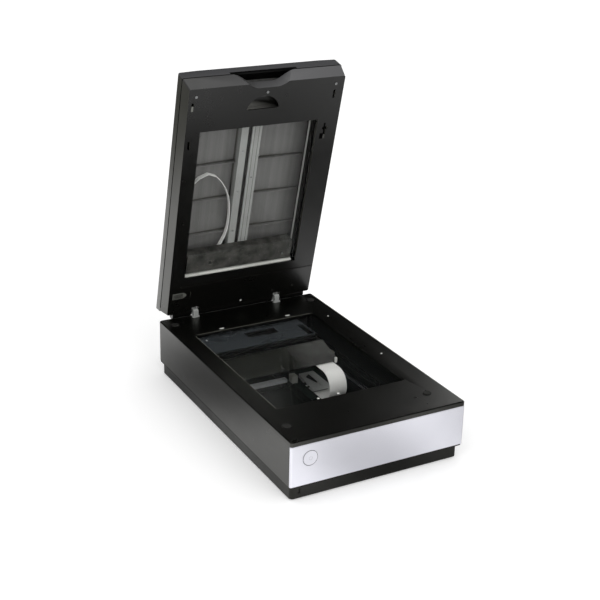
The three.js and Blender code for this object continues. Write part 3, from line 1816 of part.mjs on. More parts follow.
// The outer cover's form at a given wall inset: arched across, sloped at the rear, rounded at the edges.
function coverForm(inset) {
  const half = lidHalfOuter - inset;
  const bottom = lidParting + lidGroove / 2 - (inset > 0 ? overrun : 0);
  const edge = lidEdge - inset;
  const fillet = Math.max(coverFillet - inset, gap);
  const across = [[-half, bottom], [half, bottom]];
  const steps = 10;
  for (const side of [1, -1]) {
    const corner = [];
    for (let i = 0; i <= 3; i++) {
      const a = (Math.PI / 2) * (i / 3);
      corner.push([side * (half - fillet + fillet * Math.cos(a)), edge - fillet + fillet * Math.sin(a)]);
    }
    if (side > 0) {
      across.push(...corner);
      for (let i = 1; i < steps; i++) {
        const x = (half - fillet) * (1 - (2 * i) / steps);
        const share = x / (half - fillet);
        across.push([x, edge + lidCrown * (1 - share * share)]);
      }
    } else {
      across.push(...corner.reverse());
    }
  }
  const front = -(lidLength + lidBandSlope) - gap + inset;
  const arch = alongY(outline(across), front - overrun, overrun * 8);
  const high = edge + lidCrown;
  const round = coverFillet * coverRoundShare;
  const side = [[high * rearSlope - inset, high]];
  for (let i = 0; i <= 4; i++) {
    const a = Math.PI / 2 + (Math.PI / 2) * (i / 4);
    side.push([front + round + round * Math.cos(a), high - round * (1 - Math.sin(a))]);
  }
  side.push([front, bottom], [bottom * rearSlope - inset, bottom]);
  const profile = alongX(outline(side), -half - overrun, half + overrun);
  const plan = raised(
    rectangle(-half, half, front, high * rearSlope - inset, Math.max(lidPlanRadius - inset, gap)),
    bottom,
    high + overrun,
  );
  return arch.intersect(profile).intersect(plan);
}

// Outer half of the lid: an arched cover with ribs and the beds of the lamp rails.
function makeOuterCover() {
  const outer = coverForm(0);
  const hollow = coverForm(lidWall);
  const shell = cut(outer, hollow);
  const tongueFrom = lidParting - lidWall * 1.5;
  const tongueInset = lidWall + gap;
  const tongueOuter = loft([
    lidPlan(tongueFrom, tongueInset + gap),
    lidPlan(lidParting + lidGroove, tongueInset + gap),
    lidPlan(lidEdge - coverFillet, tongueInset + gap),
  ]);
  const tongueInner = loft([
    lidPlan(tongueFrom - overrun, tongueInset + lidWall / 2 + gap),
    lidPlan(lidParting + lidGroove, tongueInset + lidWall / 2 + gap),
    lidPlan(lidEdge + overrun, tongueInset + lidWall / 2 + gap),
  ]);
  // The rim inside the cover steps out to its wall above the parting line.
  const shelfFrom = lidParting + lidGroove;
  const shelf = loft([lidPlan(shelfFrom, gap * 2), lidPlan(shelfFrom + lidWall, gap * 2)]);
  const rim = join(tongueOuter, shelf.intersect(outer));
  const scoopRoom = raised(scoopOutline(lidWall + gap), -overrun, lidParting + lidGroove + lidWall * 2);
  const rimWithGap = cut(rim, tongueInner, scoopRoom);
  const inside = join(hollow, outer);
  const ribs = [];
  for (let i = 0; i < lidRibCount; i++) {
    const y = -(lidRibFirst + i * lidRibPitch);
    const bottom = lidEdge - lidWall - lidRibDrop;
    ribs.push(
      block(-lidHalfOuter, leftRailFrom, y - lidRibThickness, y, bottom, lidEdge + lidCrown),
      block(rightRailTo, lidHalfOuter, y - lidRibThickness, y, bottom, lidEdge + lidCrown),
    );
  }
  const railWalls = [leftRailFrom, leftRailTo - bedRibThickness, rightRailFrom, rightRailTo - bedRibThickness];
  for (const x of railWalls) {
    ribs.push(
      block(x, x + bedRibThickness, -lidRailEnd, -lidRailStart, lidRailTop + gap, lidEdge + lidCrown),
    );
  }
  const ribSolid = join(ribs).intersect(inside);
  piece("lid_outer_cover", join(shell, rimWithGap, ribSolid), "greyCase", lid);
}

// What works inside the lid: window glass, rails, travelling lamp, its belt, motor, cable and lock.
function makeLidWorks() {
  const glass = block(
    bedCentreX - windowWidth / 2 - lidGlassLap,
    bedCentreX + windowWidth / 2 + lidGlassLap,
    -windowFront - lidGlassLap,
    -windowRear + lidGlassLap,
    lidWall + gap,
    lidWall + gap + lidGlassThickness,
  );
  piece("lid_window_glass", glass, "glass", lid);

  const rail = (from, to) =>
    cut(
      block(from, to, -lidRailEnd, -lidRailStart, lidRailBottom, lidRailTop),
      block(
        from + bedRibThickness,
        to - bedRibThickness,
        -lidRailEnd - overrun,
        -lidRailStart + overrun,
        lidRailBottom + bedRibThickness,
        lidRailTop + overrun,
      ),
    );
  const axle = axleRadius / 2;
  const axleWays = [lidPulleyRear, lidPulleyFront].map((at) =>
    bar("x", leftRailFrom - overrun, rightRailTo + overrun, -at, lidBeltZ, axle + gap, 10),
  );
  piece("lid_rail_left", cut(rail(leftRailFrom, leftRailTo), axleWays), "lightPlastic", lid);
  piece("lid_rail_right", cut(rail(rightRailFrom, rightRailTo), axleWays), "lightPlastic", lid);

  const lampTop = lidRailBottom - gap;
  const lampLeft = bedCentreX - lampHalf;
  const lampRight = bedCentreX + lampHalf;
  const housing = alongX(
    outline([
      [-lampFront, lampBottom + lampShell],
      [-lampFront + lampShell, lampBottom],
      [-lampRear - lampShell, lampBottom],
      [-lampRear, lampBottom + lampShell],
      [-lampRear, lampTop],
      [-lampFront, lampTop],
    ]),
    lampLeft,
    lampRight,
  );
  const housingHollow = block(
    lampLeft + lampShell,
    lampRight - lampShell,
    -lampFront + lampShell,
    -lampRear - lampShell,
    lampBottom + lampShell,
    lampTop + overrun,
  );
  const webs = [leftRailFrom, rightRailTo].map((x) =>
    block(
      x - lampShell,
      x + lampShell,
      -lampFront + lampShell / 2,
      -lampRear - lampShell / 2,
      lampBottom + lampShell / 2,
      lampTop,
    ),
  );
  const clipMiddle = -(lampRear + lampFront) / 2;
  const clip = block(
    leftRailTo + gap * 2,
    rightRailFrom - gap * 2,
    clipMiddle - lampClipLength / 2,
    clipMiddle + lampClipLength / 2,
    lampTop - lampShell,
    lidBeltZ - lidPulleyRadius - lidBeltThickness / 2 - gap,
  );
  const clipWeb = block(
    leftRailFrom,
    rightRailFrom,
    clipMiddle - lampShell / 2,
    clipMiddle + lampShell / 2,
    lampBottom + lampShell / 2,
    lampTop,
  );
  piece("lamp_carriage", join(cut(housing, housingHollow), webs, clip, clipWeb), "blackCase", lid);
  const tube = new THREE.Shape();
  const tubeRadius = (tubeFront - tubeRear) / 2;
  tube.absarc(-(tubeFront + tubeRear) / 2, tubeBottom + tubeRadius, tubeRadius, Math.PI, Math.PI * 2);
  tube.lineTo(-tubeRear, tubeTop);
  tube.lineTo(-tubeFront, tubeTop);
  piece(
    "film_lamp",
    alongX(tube, bedCentreX - tubeHalf, bedCentreX + tubeHalf),
    "lampWhite",
    lid,
  );

  const beltCentre = (leftRailTo + rightRailFrom) / 2;
  const track = (grow) => {
    const r = lidPulleyRadius + grow;
    const s = new THREE.Shape();
    s.absarc(-lidPulleyRear, lidBeltZ, r, -Math.PI / 2, Math.PI / 2);
    s.absarc(-lidPulleyFront, lidBeltZ, r, Math.PI / 2, Math.PI * 1.5);
    return s;
  };
  const beltFrom = beltCentre - lidBeltWidth / 2;
  const beltTo = beltCentre + lidBeltWidth / 2;
  const belt = cut(
    alongX(track(lidBeltThickness / 2), beltFrom, beltTo),
    alongX(track(-lidBeltThickness / 2), beltFrom - overrun, beltTo + overrun),
  );
  piece("lid_belt", belt, "rubber", lid);
  const pulleyInside = lidPulleyRadius - lidBeltThickness / 2 - gap;
  const pulleyFrom = leftRailTo + gap;
  const pulleyTo = rightRailFrom - gap;
  const motorFrom = rightRailTo + gap;
  const pulley = (at, axleTo) =>
    join(
      bar("x", pulleyFrom, pulleyTo, -at, lidBeltZ, pulleyInside, 16),
      bar("x", leftRailTo - bedRibThickness, axleTo, -at, lidBeltZ, axle, 10),
    );
  piece(
    "lid_idler_pulley",
    pulley(lidPulleyFront, rightRailFrom + bedRibThickness),
    "nylon",
    lid,
  );
  piece("lid_drive_pulley", pulley(lidPulleyRear, motorFrom - gap), "nylon", lid);
  const motor = bar(
    "x",
    motorFrom,
    motorFrom + lidMotorLength,
    -lidPulleyRear,
    lidBeltZ,
    lidMotorRadius,
    28,
  );
  piece("lid_motor", motor, "sheetMetal", lid);

  const route = new THREE.CatmullRomCurve3(
    lidRibbonRoute.map(([across, along]) => new THREE.Vector3(across, -along, 0)),
    false,
    "centripetal",
  );
  const flanks = [[], []];
  for (let i = 0; i <= lidRibbonSteps; i++) {
    const at = route.getPointAt(i / lidRibbonSteps);
    const along = route.getTangentAt(i / lidRibbonSteps);
    [1, -1].forEach((side, k) => {
      const shift = (side * lidRibbonThickness) / 2;
      flanks[k].push([at.x - along.y * shift, at.y + along.x * shift]);
    });
  }
  const cable = raised(
    outline([...flanks[1], ...flanks[0].reverse()]),
    lidRibbonBottom,
    lidRibbonBottom + lidRibbonWidth,
  );
  piece("lid_ribbon_cable", cable, "ribbon", lid);

  const slider = join(
    raised(
      outline([
        [-lockSliderLength / 2, -lockSliderWidth / 2],
        [lockSliderLength / 4, -lockSliderWidth / 2],
        [lockSliderLength / 2, -lockSliderWidth / 8],
        [lockSliderLength / 2, lockSliderWidth / 8],
        [lockSliderLength / 4, lockSliderWidth / 2],
        [-lockSliderLength / 2, lockSliderWidth / 2],
      ]),
      0,
      lockSliderThickness,
    ),
    Array.from({ length: lockSliderRibs }, (_, i) => {
      const pitch = (lockSliderLength * lockRibbedShare) / lockSliderRibs;
      const x = -lockSliderLength / 2 + pitch * (i + 0.5);
      return block(
        x,
        x + pitch / 2,
        -lockSliderWidth / 2 + lockRibHeight,
        lockSliderWidth / 2 - lockRibHeight,
        -lockRibHeight,
        lockSliderThickness / 2,
      );
    }),
    block(
      -lockSlotHalf,
      lockSlotHalf,
      -lockSlotHalf,
      lockSlotHalf,
      lockSliderThickness / 2,
      lockSliderThickness + lidWall * 2,
    ),
  ).translate([lockSliderX, -lockSliderAt, 0]);
  piece("lid_lock_slider", slider, "lightPlastic", lid);
}

makeTray();
makeFeet();
makeHousing();
makeFront();
makeButton();
makeGlass();
makePads();
makeGuides();
makeCarriage();
makeDrive();
makeElectronics();
makeRear();
makeHinge();
makeInnerCase();
makeOuterCover();
makeLidWorks();

// The lid hangs on the hinge axis and stands open, leaning a little forward.
lid.position.set(0, -hingeRear, -faceDrop);
lidTurn.add(lid);
lidTurn.position.set(0, hingeY, hingeZ);
lidTurn.rotation.x = -THREE.MathUtils.degToRad(openAngle);
hingeLift.add(lidTurn);
scanner.add(hingeLift);

// The origin is the middle of the whole outline, on the surface that the feet stand on.
scanner.updateMatrixWorld(true);
const reach = new THREE.Box3().setFromObject(scanner, true);
scanner.position.set(-(reach.min.x + reach.max.x) / 2, -(reach.min.y + reach.max.y) / 2, -reach.min.z);
const part = new THREE.Group();
part.add(scanner);

export default part;
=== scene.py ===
"""The looks of a flatbed photo scanner that stands open: shells, front, glass bed, carriage and lid."""

import json
import math

import bmesh
import bpy
from mathutils import Matrix, Vector


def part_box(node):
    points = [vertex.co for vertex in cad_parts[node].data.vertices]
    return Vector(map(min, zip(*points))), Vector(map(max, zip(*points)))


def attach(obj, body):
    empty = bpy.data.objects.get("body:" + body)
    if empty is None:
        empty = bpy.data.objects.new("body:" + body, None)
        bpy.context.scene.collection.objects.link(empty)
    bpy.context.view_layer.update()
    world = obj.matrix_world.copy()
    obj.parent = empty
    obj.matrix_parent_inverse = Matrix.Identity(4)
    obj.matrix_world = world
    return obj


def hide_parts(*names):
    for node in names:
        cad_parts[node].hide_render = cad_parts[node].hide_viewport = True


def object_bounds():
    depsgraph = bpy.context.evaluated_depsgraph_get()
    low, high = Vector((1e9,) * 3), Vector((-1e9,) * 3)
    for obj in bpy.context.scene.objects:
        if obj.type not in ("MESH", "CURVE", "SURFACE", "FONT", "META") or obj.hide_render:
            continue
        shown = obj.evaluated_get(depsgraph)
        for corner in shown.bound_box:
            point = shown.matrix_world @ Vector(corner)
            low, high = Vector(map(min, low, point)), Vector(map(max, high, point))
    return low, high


bl_info = {
    "name": "Open Flatbed Scanner",
    "version": (1, 0, 0),
    "blender": (4, 5, 0),
    "location": "View3D > Sidebar > Scanner",
    "description": "Finishes the shells, glass, carriage and lid of a flatbed photo scanner",
    "category": "Object",
}

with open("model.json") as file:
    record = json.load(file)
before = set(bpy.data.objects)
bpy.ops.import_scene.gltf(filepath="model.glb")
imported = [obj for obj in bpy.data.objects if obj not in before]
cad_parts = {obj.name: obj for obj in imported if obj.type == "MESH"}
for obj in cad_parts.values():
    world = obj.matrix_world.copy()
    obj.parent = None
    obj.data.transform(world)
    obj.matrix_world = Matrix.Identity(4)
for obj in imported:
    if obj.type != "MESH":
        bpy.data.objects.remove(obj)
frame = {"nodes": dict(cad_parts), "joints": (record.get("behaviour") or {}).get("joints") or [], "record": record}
CAD_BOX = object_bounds()
MM = 0.001

# The slot and the body of each node
SLOTS = {part["node"]: part["material_slot"] for part in frame["record"]["subparts"]}
BODIES = {node: body for body, nodes in frame["record"]["behaviour"]["bodies"].items() for node in nodes}

# Places that the rest is worked out from
HOUSING_LOW, HOUSING_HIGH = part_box("upper_housing")
FRONT_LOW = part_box("front_panel")[0]
BUTTON_LOW, BUTTON_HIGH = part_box("power_button")
CENTRE_Y = (HOUSING_LOW.y + HOUSING_HIGH.y) / 2
TOP = HOUSING_HIGH.z
LID_JOINT = next(joint for joint in frame["joints"] if joint["name"] == "lid_hinge")
HINGE = Vector(LID_JOINT["pos_m"])
OPEN_TURN = Matrix.Rotation(-math.radians(LID_JOINT["range_deg"][1]), 4, "X")

# With the lid shut, how far its rear edge lies in front of the hinge's axis and its inner face below it
LID_SETBACK = 4 * MM
LID_DROP = 6.56 * MM

# Where the lid's finish changes: across from its middle, along from its rear edge and up from its inner face
FREE_EDGE = 424 * MM
# Across, where the painted light on the lid's bevel is least and where it is most
BEVEL_PAINTED_SHADE_END, BEVEL_PAINTED_LIGHT_END = -130 * MM, 40 * MM
RECESS_MIDDLE = -8 * MM
RECESS_HALF_WIDTH = 32 * MM
RECESS_START, RECESS_END = 394 * MM, 423 * MM
RECESS_SKIN = 0.5 * MM
ROOM_HALF_WIDTH = 139 * MM
RIB_FOOT, COVER_ROOF = 36 * MM, 43.6 * MM
SCOOP_HALF_WIDTH = 61 * MM
SCOOP_TOP = 29.9 * MM

# Painted light and shade in the recess, lighter to the left and away from the free edge, darker beyond a line that
# runs aslant: its slope, and where the painted light is full and where it is gone
RECESS_LIGHT_SLOPE = 3.0
RECESS_LIGHT_FULL, RECESS_LIGHT_GONE = 1160 * MM, 1212 * MM

# Where the painted reflection on the carriage's cover begins and is full, across
GLARE_START, GLARE_END = -8 * MM, 56 * MM

# What several finishes share
CASE_GRAIN = 1500.0
MARK_GRAIN = 1600.0
MARK_DEPTH = 0.05
GRAIN_HEIGHT = 0.05 * MM
LINE_HEIGHT = 0.03 * MM
RUB_RADIUS = 1.2 * MM
RUB_STRENGTH = 0.5
GLOSS_TINT = (1.0, 1.0, 0.93, 1.0)
GLASS_HEAD_ON = 0.04

# Angles in degrees up to which a piece is shaded smooth, and up to which a node's faces are joined
FLAT_ANGLE = 30.0
SHELL_ANGLE = 32.0
ROUND_ANGLE = 40.0
BENT_ANGLE = 50.0
JOIN_ANGLE = 0.4

# Corners nearer than this become one, in a node's loose triangles and in the scene's own meshes.
NODE_WELD = 0.002 * MM
OWN_WELD = 0.001 * MM

# Small round pieces: steps round them, and how a dome draws in and drops, as shares of its height
DISC_STEPS = 20
HALF_DISC_STEPS = 12
SHOULDER_IN_SHARE = 0.35
SHOULDER_DOWN_SHARE = 0.3
CROWN_IN_SHARE = 1.2

# The front panel's edge as a share of the other shells' edges
PANEL_EDGE_SHARE = 1.6

# Screws: head, cross recess as shares of the head, and turns that set them on a face
SCREW_RADIUS = 2.3 * MM
SCREW_HEIGHT = 1.2 * MM
SCREW_SIDES = 20
CROSS_LENGTH_SHARE = 1.15
CROSS_WIDTH_SHARE = 0.26
CROSS_LIFT_SHARE = 0.65
UPRIGHT = (0.0, 0.0, 0.0)
UPSIDE_DOWN = (math.pi, 0.0, 0.0)
LID_TURN_BACK = (math.radians(180.0 - LID_JOINT["range_deg"][1]), 0.0, 0.0)


def lid_matrix():
    """Takes a point of the shut lid, measured from its rear edge, to where it is with the lid open."""
    return Matrix.Translation(HINGE) @ OPEN_TURN @ Matrix.Translation((0, -LID_SETBACK, -LID_DROP))


def srgb(red, green, blue):
    """A screen colour of 0 to 255 as the linear colour that a shader takes."""
    shares = [c / 255 for c in (red, green, blue)]
    linear = [c / 12.92 if c <= 0.04045 else ((c + 0.055) / 1.055) ** 2.4 for c in shares]
    return (*linear, 1.0)


class ScannerSizes(bpy.types.PropertyGroup):
    """Sizes of the finish that a user may change."""

    edge_radius: bpy.props.FloatProperty(
        name="Edge radius", description="Rounding of the moulded edges", default=0.6 * MM, unit="LENGTH"
    )
    screw_radius: bpy.props.FloatProperty(
        name="Screw radius", description="Head radius of the screws in the lid's face",
        default=SCREW_RADIUS, unit="LENGTH",
    )
    mark_radius: bpy.props.FloatProperty(
        name="Mark radius", description="Radius of the small dots beside the bed",
        default=1.6 * MM, unit="LENGTH",
    )
    ribbon_lines: bpy.props.IntProperty(
        name="Ribbon lines", description="Conductors that show in the wide ribbon", default=28, min=4
    )
    rail_screws: bpy.props.IntProperty(
        name="Rail screws", description="Screws along each rail in the lid", default=5, min=2
    )


class ScannerColours(bpy.types.PropertyGroup):
    """Colours of the finish that a user may change."""

    case_black: bpy.props.FloatVectorProperty(
        name="Case black", description="Moulded black of base and inner lid", subtype="COLOR",
        size=4, default=srgb(12, 12, 10), min=0, max=1,
    )
    cover_grey: bpy.props.FloatVectorProperty(
        name="Cover grey", description="Moulded grey of the lid's outer cover", subtype="COLOR",
        size=4, default=srgb(64, 64, 58), min=0, max=1,
    )
    cover_inside: bpy.props.FloatVectorProperty(
        name="Cover inside", description="Bare plastic inside the outer cover", subtype="COLOR",
        size=4, default=srgb(114, 114, 112), min=0, max=1,
    )
    silver: bpy.props.FloatVectorProperty(
        name="Silver", description="Paint of the front panel", subtype="COLOR",
        size=4, default=srgb(243, 243, 251), min=0, max=1,
    )
    light_plastic: bpy.props.FloatVectorProperty(
        name="Light plastic", description="Hinge posts and rails", subtype="COLOR",
        size=4, default=srgb(152, 154, 151), min=0, max=1,
    )


def sizes():
    """The sizes as they are set."""
    return bpy.context.scene.scanner_sizes


def colours():
    """The colours as they are set."""
    return bpy.context.scene.scanner_colours


# Shader groups shared by the finishes

def new_group(name, inputs, outputs):
    """A shader group with its named inputs and outputs."""
    group = bpy.data.node_groups.new(name, "ShaderNodeTree")
    for label, kind, default in inputs:
        socket = group.interface.new_socket(label, in_out="INPUT", socket_type=kind)
        socket.default_value = default
    for label, kind in outputs:
        group.interface.new_socket(label, in_out="OUTPUT", socket_type=kind)
    return group, group.nodes.new("NodeGroupInput"), group.nodes.new("NodeGroupOutput")


def feed(tree, value, socket):
    """Feeds a socket from another socket, or sets it to a plain value."""
    if isinstance(value, bpy.types.NodeSocket):
        tree.links.new(value, socket)
    else:
        socket.default_value = value


def math_node(tree, operation, first, second=None):
    """A Math node fed by sockets or numbers."""
    node = tree.nodes.new("ShaderNodeMath")
    node.operation = operation
    feed(tree, first, node.inputs[0])
    if second is not None:
        feed(tree, second, node.inputs[1])
    return node.outputs[0]


def product(tree, first, *others):
    """The product of some sockets or numbers."""
    for other in others:
        first = math_node(tree, "MULTIPLY", first, other)
    return first


def below(tree, value, limit):
    """A mask that is 1 where a value is under a limit."""
    return math_node(tree, "LESS_THAN", value, limit)


def above(tree, value, limit):
    """A mask that is 1 where a value is over a limit."""
    return math_node(tree, "GREATER_THAN", value, limit)


def coordinates(tree, kind="Object"):
    """The place of a point in object space, or its normal."""
    return tree.nodes.new("ShaderNodeTexCoord").outputs[kind]


def axes(tree, vector):
    """A vector's X, Y and Z."""
    split = tree.nodes.new("ShaderNodeSeparateXYZ")
    tree.links.new(vector, split.inputs[0])
    return split.outputs


def noise(tree, vector, scale, detail=3.0, roughness=0.5, stretch=None):
    """A noise value in object space, stretched along the axes where asked."""
    if stretch:
        mapping = tree.nodes.new("ShaderNodeMapping")
        mapping.inputs["Scale"].default_value = stretch
        tree.links.new(vector, mapping.inputs["Vector"])
        vector = mapping.outputs[0]
    node = tree.nodes.new("ShaderNodeTexNoise")
    tree.links.new(vector, node.inputs["Vector"])
    feed(tree, scale, node.inputs["Scale"])
    node.inputs["Detail"].default_value = detail
    node.inputs["Roughness"].default_value = roughness
    return node.outputs["Fac"]


# Between these two lies nearly all of a noise value.
NOISE_LOW, NOISE_HIGH = 0.3, 0.7


def spread(tree, value, low, high):
    """Maps a noise value, which lies about its middle, to a range."""
    node = tree.nodes.new("ShaderNodeMapRange")
    node.inputs["From Min"].default_value = NOISE_LOW
    node.inputs["From Max"].default_value = NOISE_HIGH
    feed(tree, low, node.inputs["To Min"])
    feed(tree, high, node.inputs["To Max"])
    tree.links.new(value, node.inputs["Value"])
    return node.outputs[0]


def fall(tree, value, first, last):
    """A share that goes from 0 to 1 as a value goes from the first number to the last."""
    node = tree.nodes.new("ShaderNodeMapRange")
    tree.links.new(value, node.inputs["Value"])
    node.inputs["From Min"].default_value = first
    node.inputs["From Max"].default_value = last
    return node.outputs["Result"]


def mixed(tree, share, first, second):
    """Two colours, sockets or plain values, mixed by a share."""
    mix = tree.nodes.new("ShaderNodeMix")
    mix.data_type = "RGBA"
    tree.links.new(share, mix.inputs[0])
    feed(tree, first, mix.inputs[6])
    feed(tree, second, mix.inputs[7])
    return mix.outputs[2]


def tinted(tree, colour, tint):
    """A colour multiplied by a tint."""
    multiply = tree.nodes.new("ShaderNodeMix")
    multiply.data_type = "RGBA"
    multiply.blend_type = "MULTIPLY"
    multiply.inputs[0].default_value = 1.0
    multiply.inputs[6].default_value = tuple(colour)
    tree.links.new(tint, multiply.inputs[7])
    return multiply.outputs[2]


def bump(tree, height, shader, strength, distance):
    """Lets a height bend the light on a shader's surface."""
    node = tree.nodes.new("ShaderNodeBump")
    node.inputs["Strength"].default_value = strength
    node.inputs["Distance"].default_value = distance
    tree.links.new(height, node.inputs["Height"])
    tree.links.new(node.outputs[0], shader.inputs["Normal"])


def make_grain_group():
    """Spark-eroded mould grain: a height, a slight tint and a roughness that varies with handling."""
    group, given, out = new_group(
        "Mould grain",
        [
            ("Scale", "NodeSocketFloat", 1800.0),
            ("Roughness", "NodeSocketFloat", 0.45),
            ("Variation", "NodeSocketFloat", 0.06),
        ],
        [("Height", "NodeSocketFloat"), ("Tint", "NodeSocketFloat"), ("Roughness", "NodeSocketFloat")],
    )
    where = coordinates(group)
    fine = noise(group, where, given.outputs["Scale"], 2.0, 0.6)
    broad = noise(group, where, 14.0, 4.0, 0.55)
    smear = noise(group, where, 60.0, 3.0, 0.6, (1.0, 0.35, 1.0))
    group.links.new(fine, out.inputs["Height"])
    group.links.new(spread(group, broad, 0.9, 1.1), out.inputs["Tint"])
    handling_and_painted_light = product(group, math_node(group, "SUBTRACT", smear, 0.5), given.outputs["Variation"])
    blotch = product(group, math_node(group, "SUBTRACT", broad, 0.5), given.outputs["Variation"])
    rough = math_node(group, "ADD", given.outputs["Roughness"], math_node(group, "ADD", handling_and_painted_light, blotch))
    group.links.new(rough, out.inputs["Roughness"])
    return group


def make_edge_group():
    """Where handling has polished an edge: 0 on open faces, towards 1 on edges and corners."""
    group, given, out = new_group(
        "Edge rub",
        [("Radius", "NodeSocketFloat", RUB_RADIUS)],
        [("Mask", "NodeSocketFloat")],
    )
    soft = group.nodes.new("ShaderNodeBevel")
    soft.samples = 4
    group.links.new(given.outputs["Radius"], soft.inputs["Radius"])
    face = group.nodes.new("ShaderNodeNewGeometry").outputs["Normal"]
    dot = group.nodes.new("ShaderNodeVectorMath")
    dot.operation = "DOT_PRODUCT"
    group.links.new(soft.outputs[0], dot.inputs[0])
    group.links.new(face, dot.inputs[1])
    turned = math_node(group, "SUBTRACT", 1.0, dot.outputs["Value"])
    where = coordinates(group)
    patchy = spread(group, noise(group, where, 90.0, 4.0, 0.6), 0.2, 1.0)
    strong = math_node(group, "MINIMUM", product(group, turned, 4.0, patchy), 1.0)
    group.links.new(strong, out.inputs["Mask"])
    return group


def make_brush_group():
    """Drawn or ground metal: fine lines along one axis, given as the stretch of the pattern."""
    group, given, out = new_group(
        "Drawn lines",
        [("Stretch", "NodeSocketVector", (900.0, 12.0, 900.0)), ("Roughness", "NodeSocketFloat", 0.3)],
        [("Height", "NodeSocketFloat"), ("Roughness", "NodeSocketFloat"), ("Tint", "NodeSocketFloat")],
    )
    where = coordinates(group)
    scaled = group.nodes.new("ShaderNodeVectorMath")
    scaled.operation = "MULTIPLY"
    group.links.new(where, scaled.inputs[0])
    group.links.new(given.outputs["Stretch"], scaled.inputs[1])
    lines = noise(group, scaled.outputs[0], 1.0, 3.0, 0.6)
    cloud = noise(group, where, 25.0, 3.0, 0.5)
    group.links.new(lines, out.inputs["Height"])
    swing = product(group, math_node(group, "SUBTRACT", lines, 0.5), 0.25)
    group.links.new(math_node(group, "ADD", given.outputs["Roughness"], swing), out.inputs["Roughness"])
    group.links.new(spread(group, cloud, 0.85, 1.1), out.inputs["Tint"])
    return group


def shared_group(name):
    """A shader group, made the first time it is asked for."""
    makers = {"Mould grain": make_grain_group, "Edge rub": make_edge_group, "Drawn lines": make_brush_group}
    return bpy.data.node_groups.get(name) or makers[name]()


def place_group(tree, name, **values):
    """A shader group placed in a material with its own values."""
    node = tree.nodes.new("ShaderNodeGroup")
    node.node_tree = shared_group(name)
    for label, value in values.items():
        node.inputs[label].default_value = value
    return node


def rubbed(tree, colour, edge_colour):
    """A colour that goes towards an edge colour where handling has polished an edge."""
    mask = place_group(tree, "Edge rub", Radius=RUB_RADIUS).outputs["Mask"]
    return mixed(tree, product(tree, mask, RUB_STRENGTH), colour, edge_colour)


def dress(tree, shader, colour, skin, strength, distance=GRAIN_HEIGHT):
    """Gives a shader its colour, and the roughness and relief of a placed group."""
    tree.links.new(colour, shader.inputs["Base Color"])
    tree.links.new(skin.outputs["Roughness"], shader.inputs["Roughness"])
    bump(tree, skin.outputs["Height"], shader, strength, distance)


def fresh_material(name):
    """A material, its tree and its Principled shader, the last two None where it was made before."""
    if bpy.data.materials.get(name):
        return bpy.data.materials[name], None, None
    material = bpy.data.materials.new(name)
    material.use_nodes = True
    tree = material.node_tree
    return material, tree, tree.nodes["Principled BSDF"]


def moulded(name, colour, rough, grain, depth, rub=None, variation=0.1, gloss=0.5):
    """Moulded plastic with mould grain, handling marks and, where asked, rubbed edges."""
    material, tree, shader = fresh_material(name)
    if shader is None:
        return material
    skin = place_group(tree, "Mould grain", Scale=grain, Roughness=rough, Variation=variation)
    face = tinted(tree, colour, skin.outputs["Tint"])
    shader.inputs["Specular IOR Level"].default_value = gloss
    shader.inputs["Specular Tint"].default_value = GLOSS_TINT
    dress(tree, shader, rubbed(tree, face, rub) if rub else face, skin, depth)
    return material


def mark_skin(name, colour, rough=0.5, gloss=0.5):
    """The fine, even plastic of small marks."""
    return moulded(name, colour, rough, MARK_GRAIN, MARK_DEPTH, gloss=gloss)


def pale_mark():
    """The near-white of dots, pins and half-round marks."""
    return mark_skin("mark_pale", srgb(222, 224, 218))


def dark_mark():
    """The near-black of sockets, grooves and the window's side rail."""
    return mark_skin("mark_dark", srgb(6, 6, 6), 0.6)


def metal(name, colour, rough=0.3, stretch=(900.0, 12.0, 900.0), share=1.0):
    """Ground or rolled metal with lines along its length; plated sheet has a lower share of metal."""
    material, tree, shader = fresh_material(name)
    if shader is None:
        return material
    shader.inputs["Metallic"].default_value = share
    lines = place_group(tree, "Drawn lines", Stretch=stretch, Roughness=rough)
    dress(tree, shader, tinted(tree, colour, lines.outputs["Tint"]), lines, 0.15, LINE_HEIGHT)
    return material


def zinc():
    """The bright metal of the small screws."""
    return metal("zinc_screw", srgb(176, 178, 178), 0.3, (400.0, 400.0, 400.0))


def clear_glass(name, share):
    """Flat float glass: clear from the front and mirror-like at a glancing angle, from either side."""
    material, tree, shader = fresh_material(name)
    if shader is None:
        return material
    shader.inputs["Base Color"].default_value = (0.93, 0.97, 0.95, 1.0)
    shader.inputs["Metallic"].default_value = 0.96
    facing = tree.nodes.new("ShaderNodeLayerWeight")
    facing.inputs["Blend"].default_value = 0.5
    glance = math_node(tree, "POWER", facing.outputs["Facing"], 5.0)
    mirror = math_node(tree, "ADD", product(tree, glance, 1.0 - GLASS_HEAD_ON), GLASS_HEAD_ON)
    where = coordinates(tree)
    film = spread(tree, noise(tree, where, 30.0, 4.0, 0.6), 0.0, 0.01)
    tree.links.new(math_node(tree, "ADD", product(tree, mirror, share), film), shader.inputs["Alpha"])
    tree.links.new(spread(tree, noise(tree, where, 45.0, 3.0, 0.6), 0.015, 0.06), shader.inputs["Roughness"])
    return material


def lid_place(tree):
    """The same place on the shut lid: across, towards the free edge (negative) and up from its inner face."""
    back = lid_matrix().inverted()
    mapping = tree.nodes.new("ShaderNodeMapping")
    mapping.inputs["Location"].default_value = back.translation
    mapping.inputs["Rotation"].default_value = back.to_euler()
    tree.links.new(coordinates(tree), mapping.inputs["Vector"])
    return axes(tree, mapping.outputs[0])


def lid_facing(tree, way, least):
    """A mask of the faces that look along one way of the shut lid."""
    turn = tree.nodes.new("ShaderNodeVectorMath")
    turn.operation = "DOT_PRODUCT"
    tree.links.new(coordinates(tree, "Normal"), turn.inputs[0])
    turn.inputs[1].default_value = lid_matrix().to_3x3() @ Vector(way)
    return above(tree, turn.outputs["Value"], least)


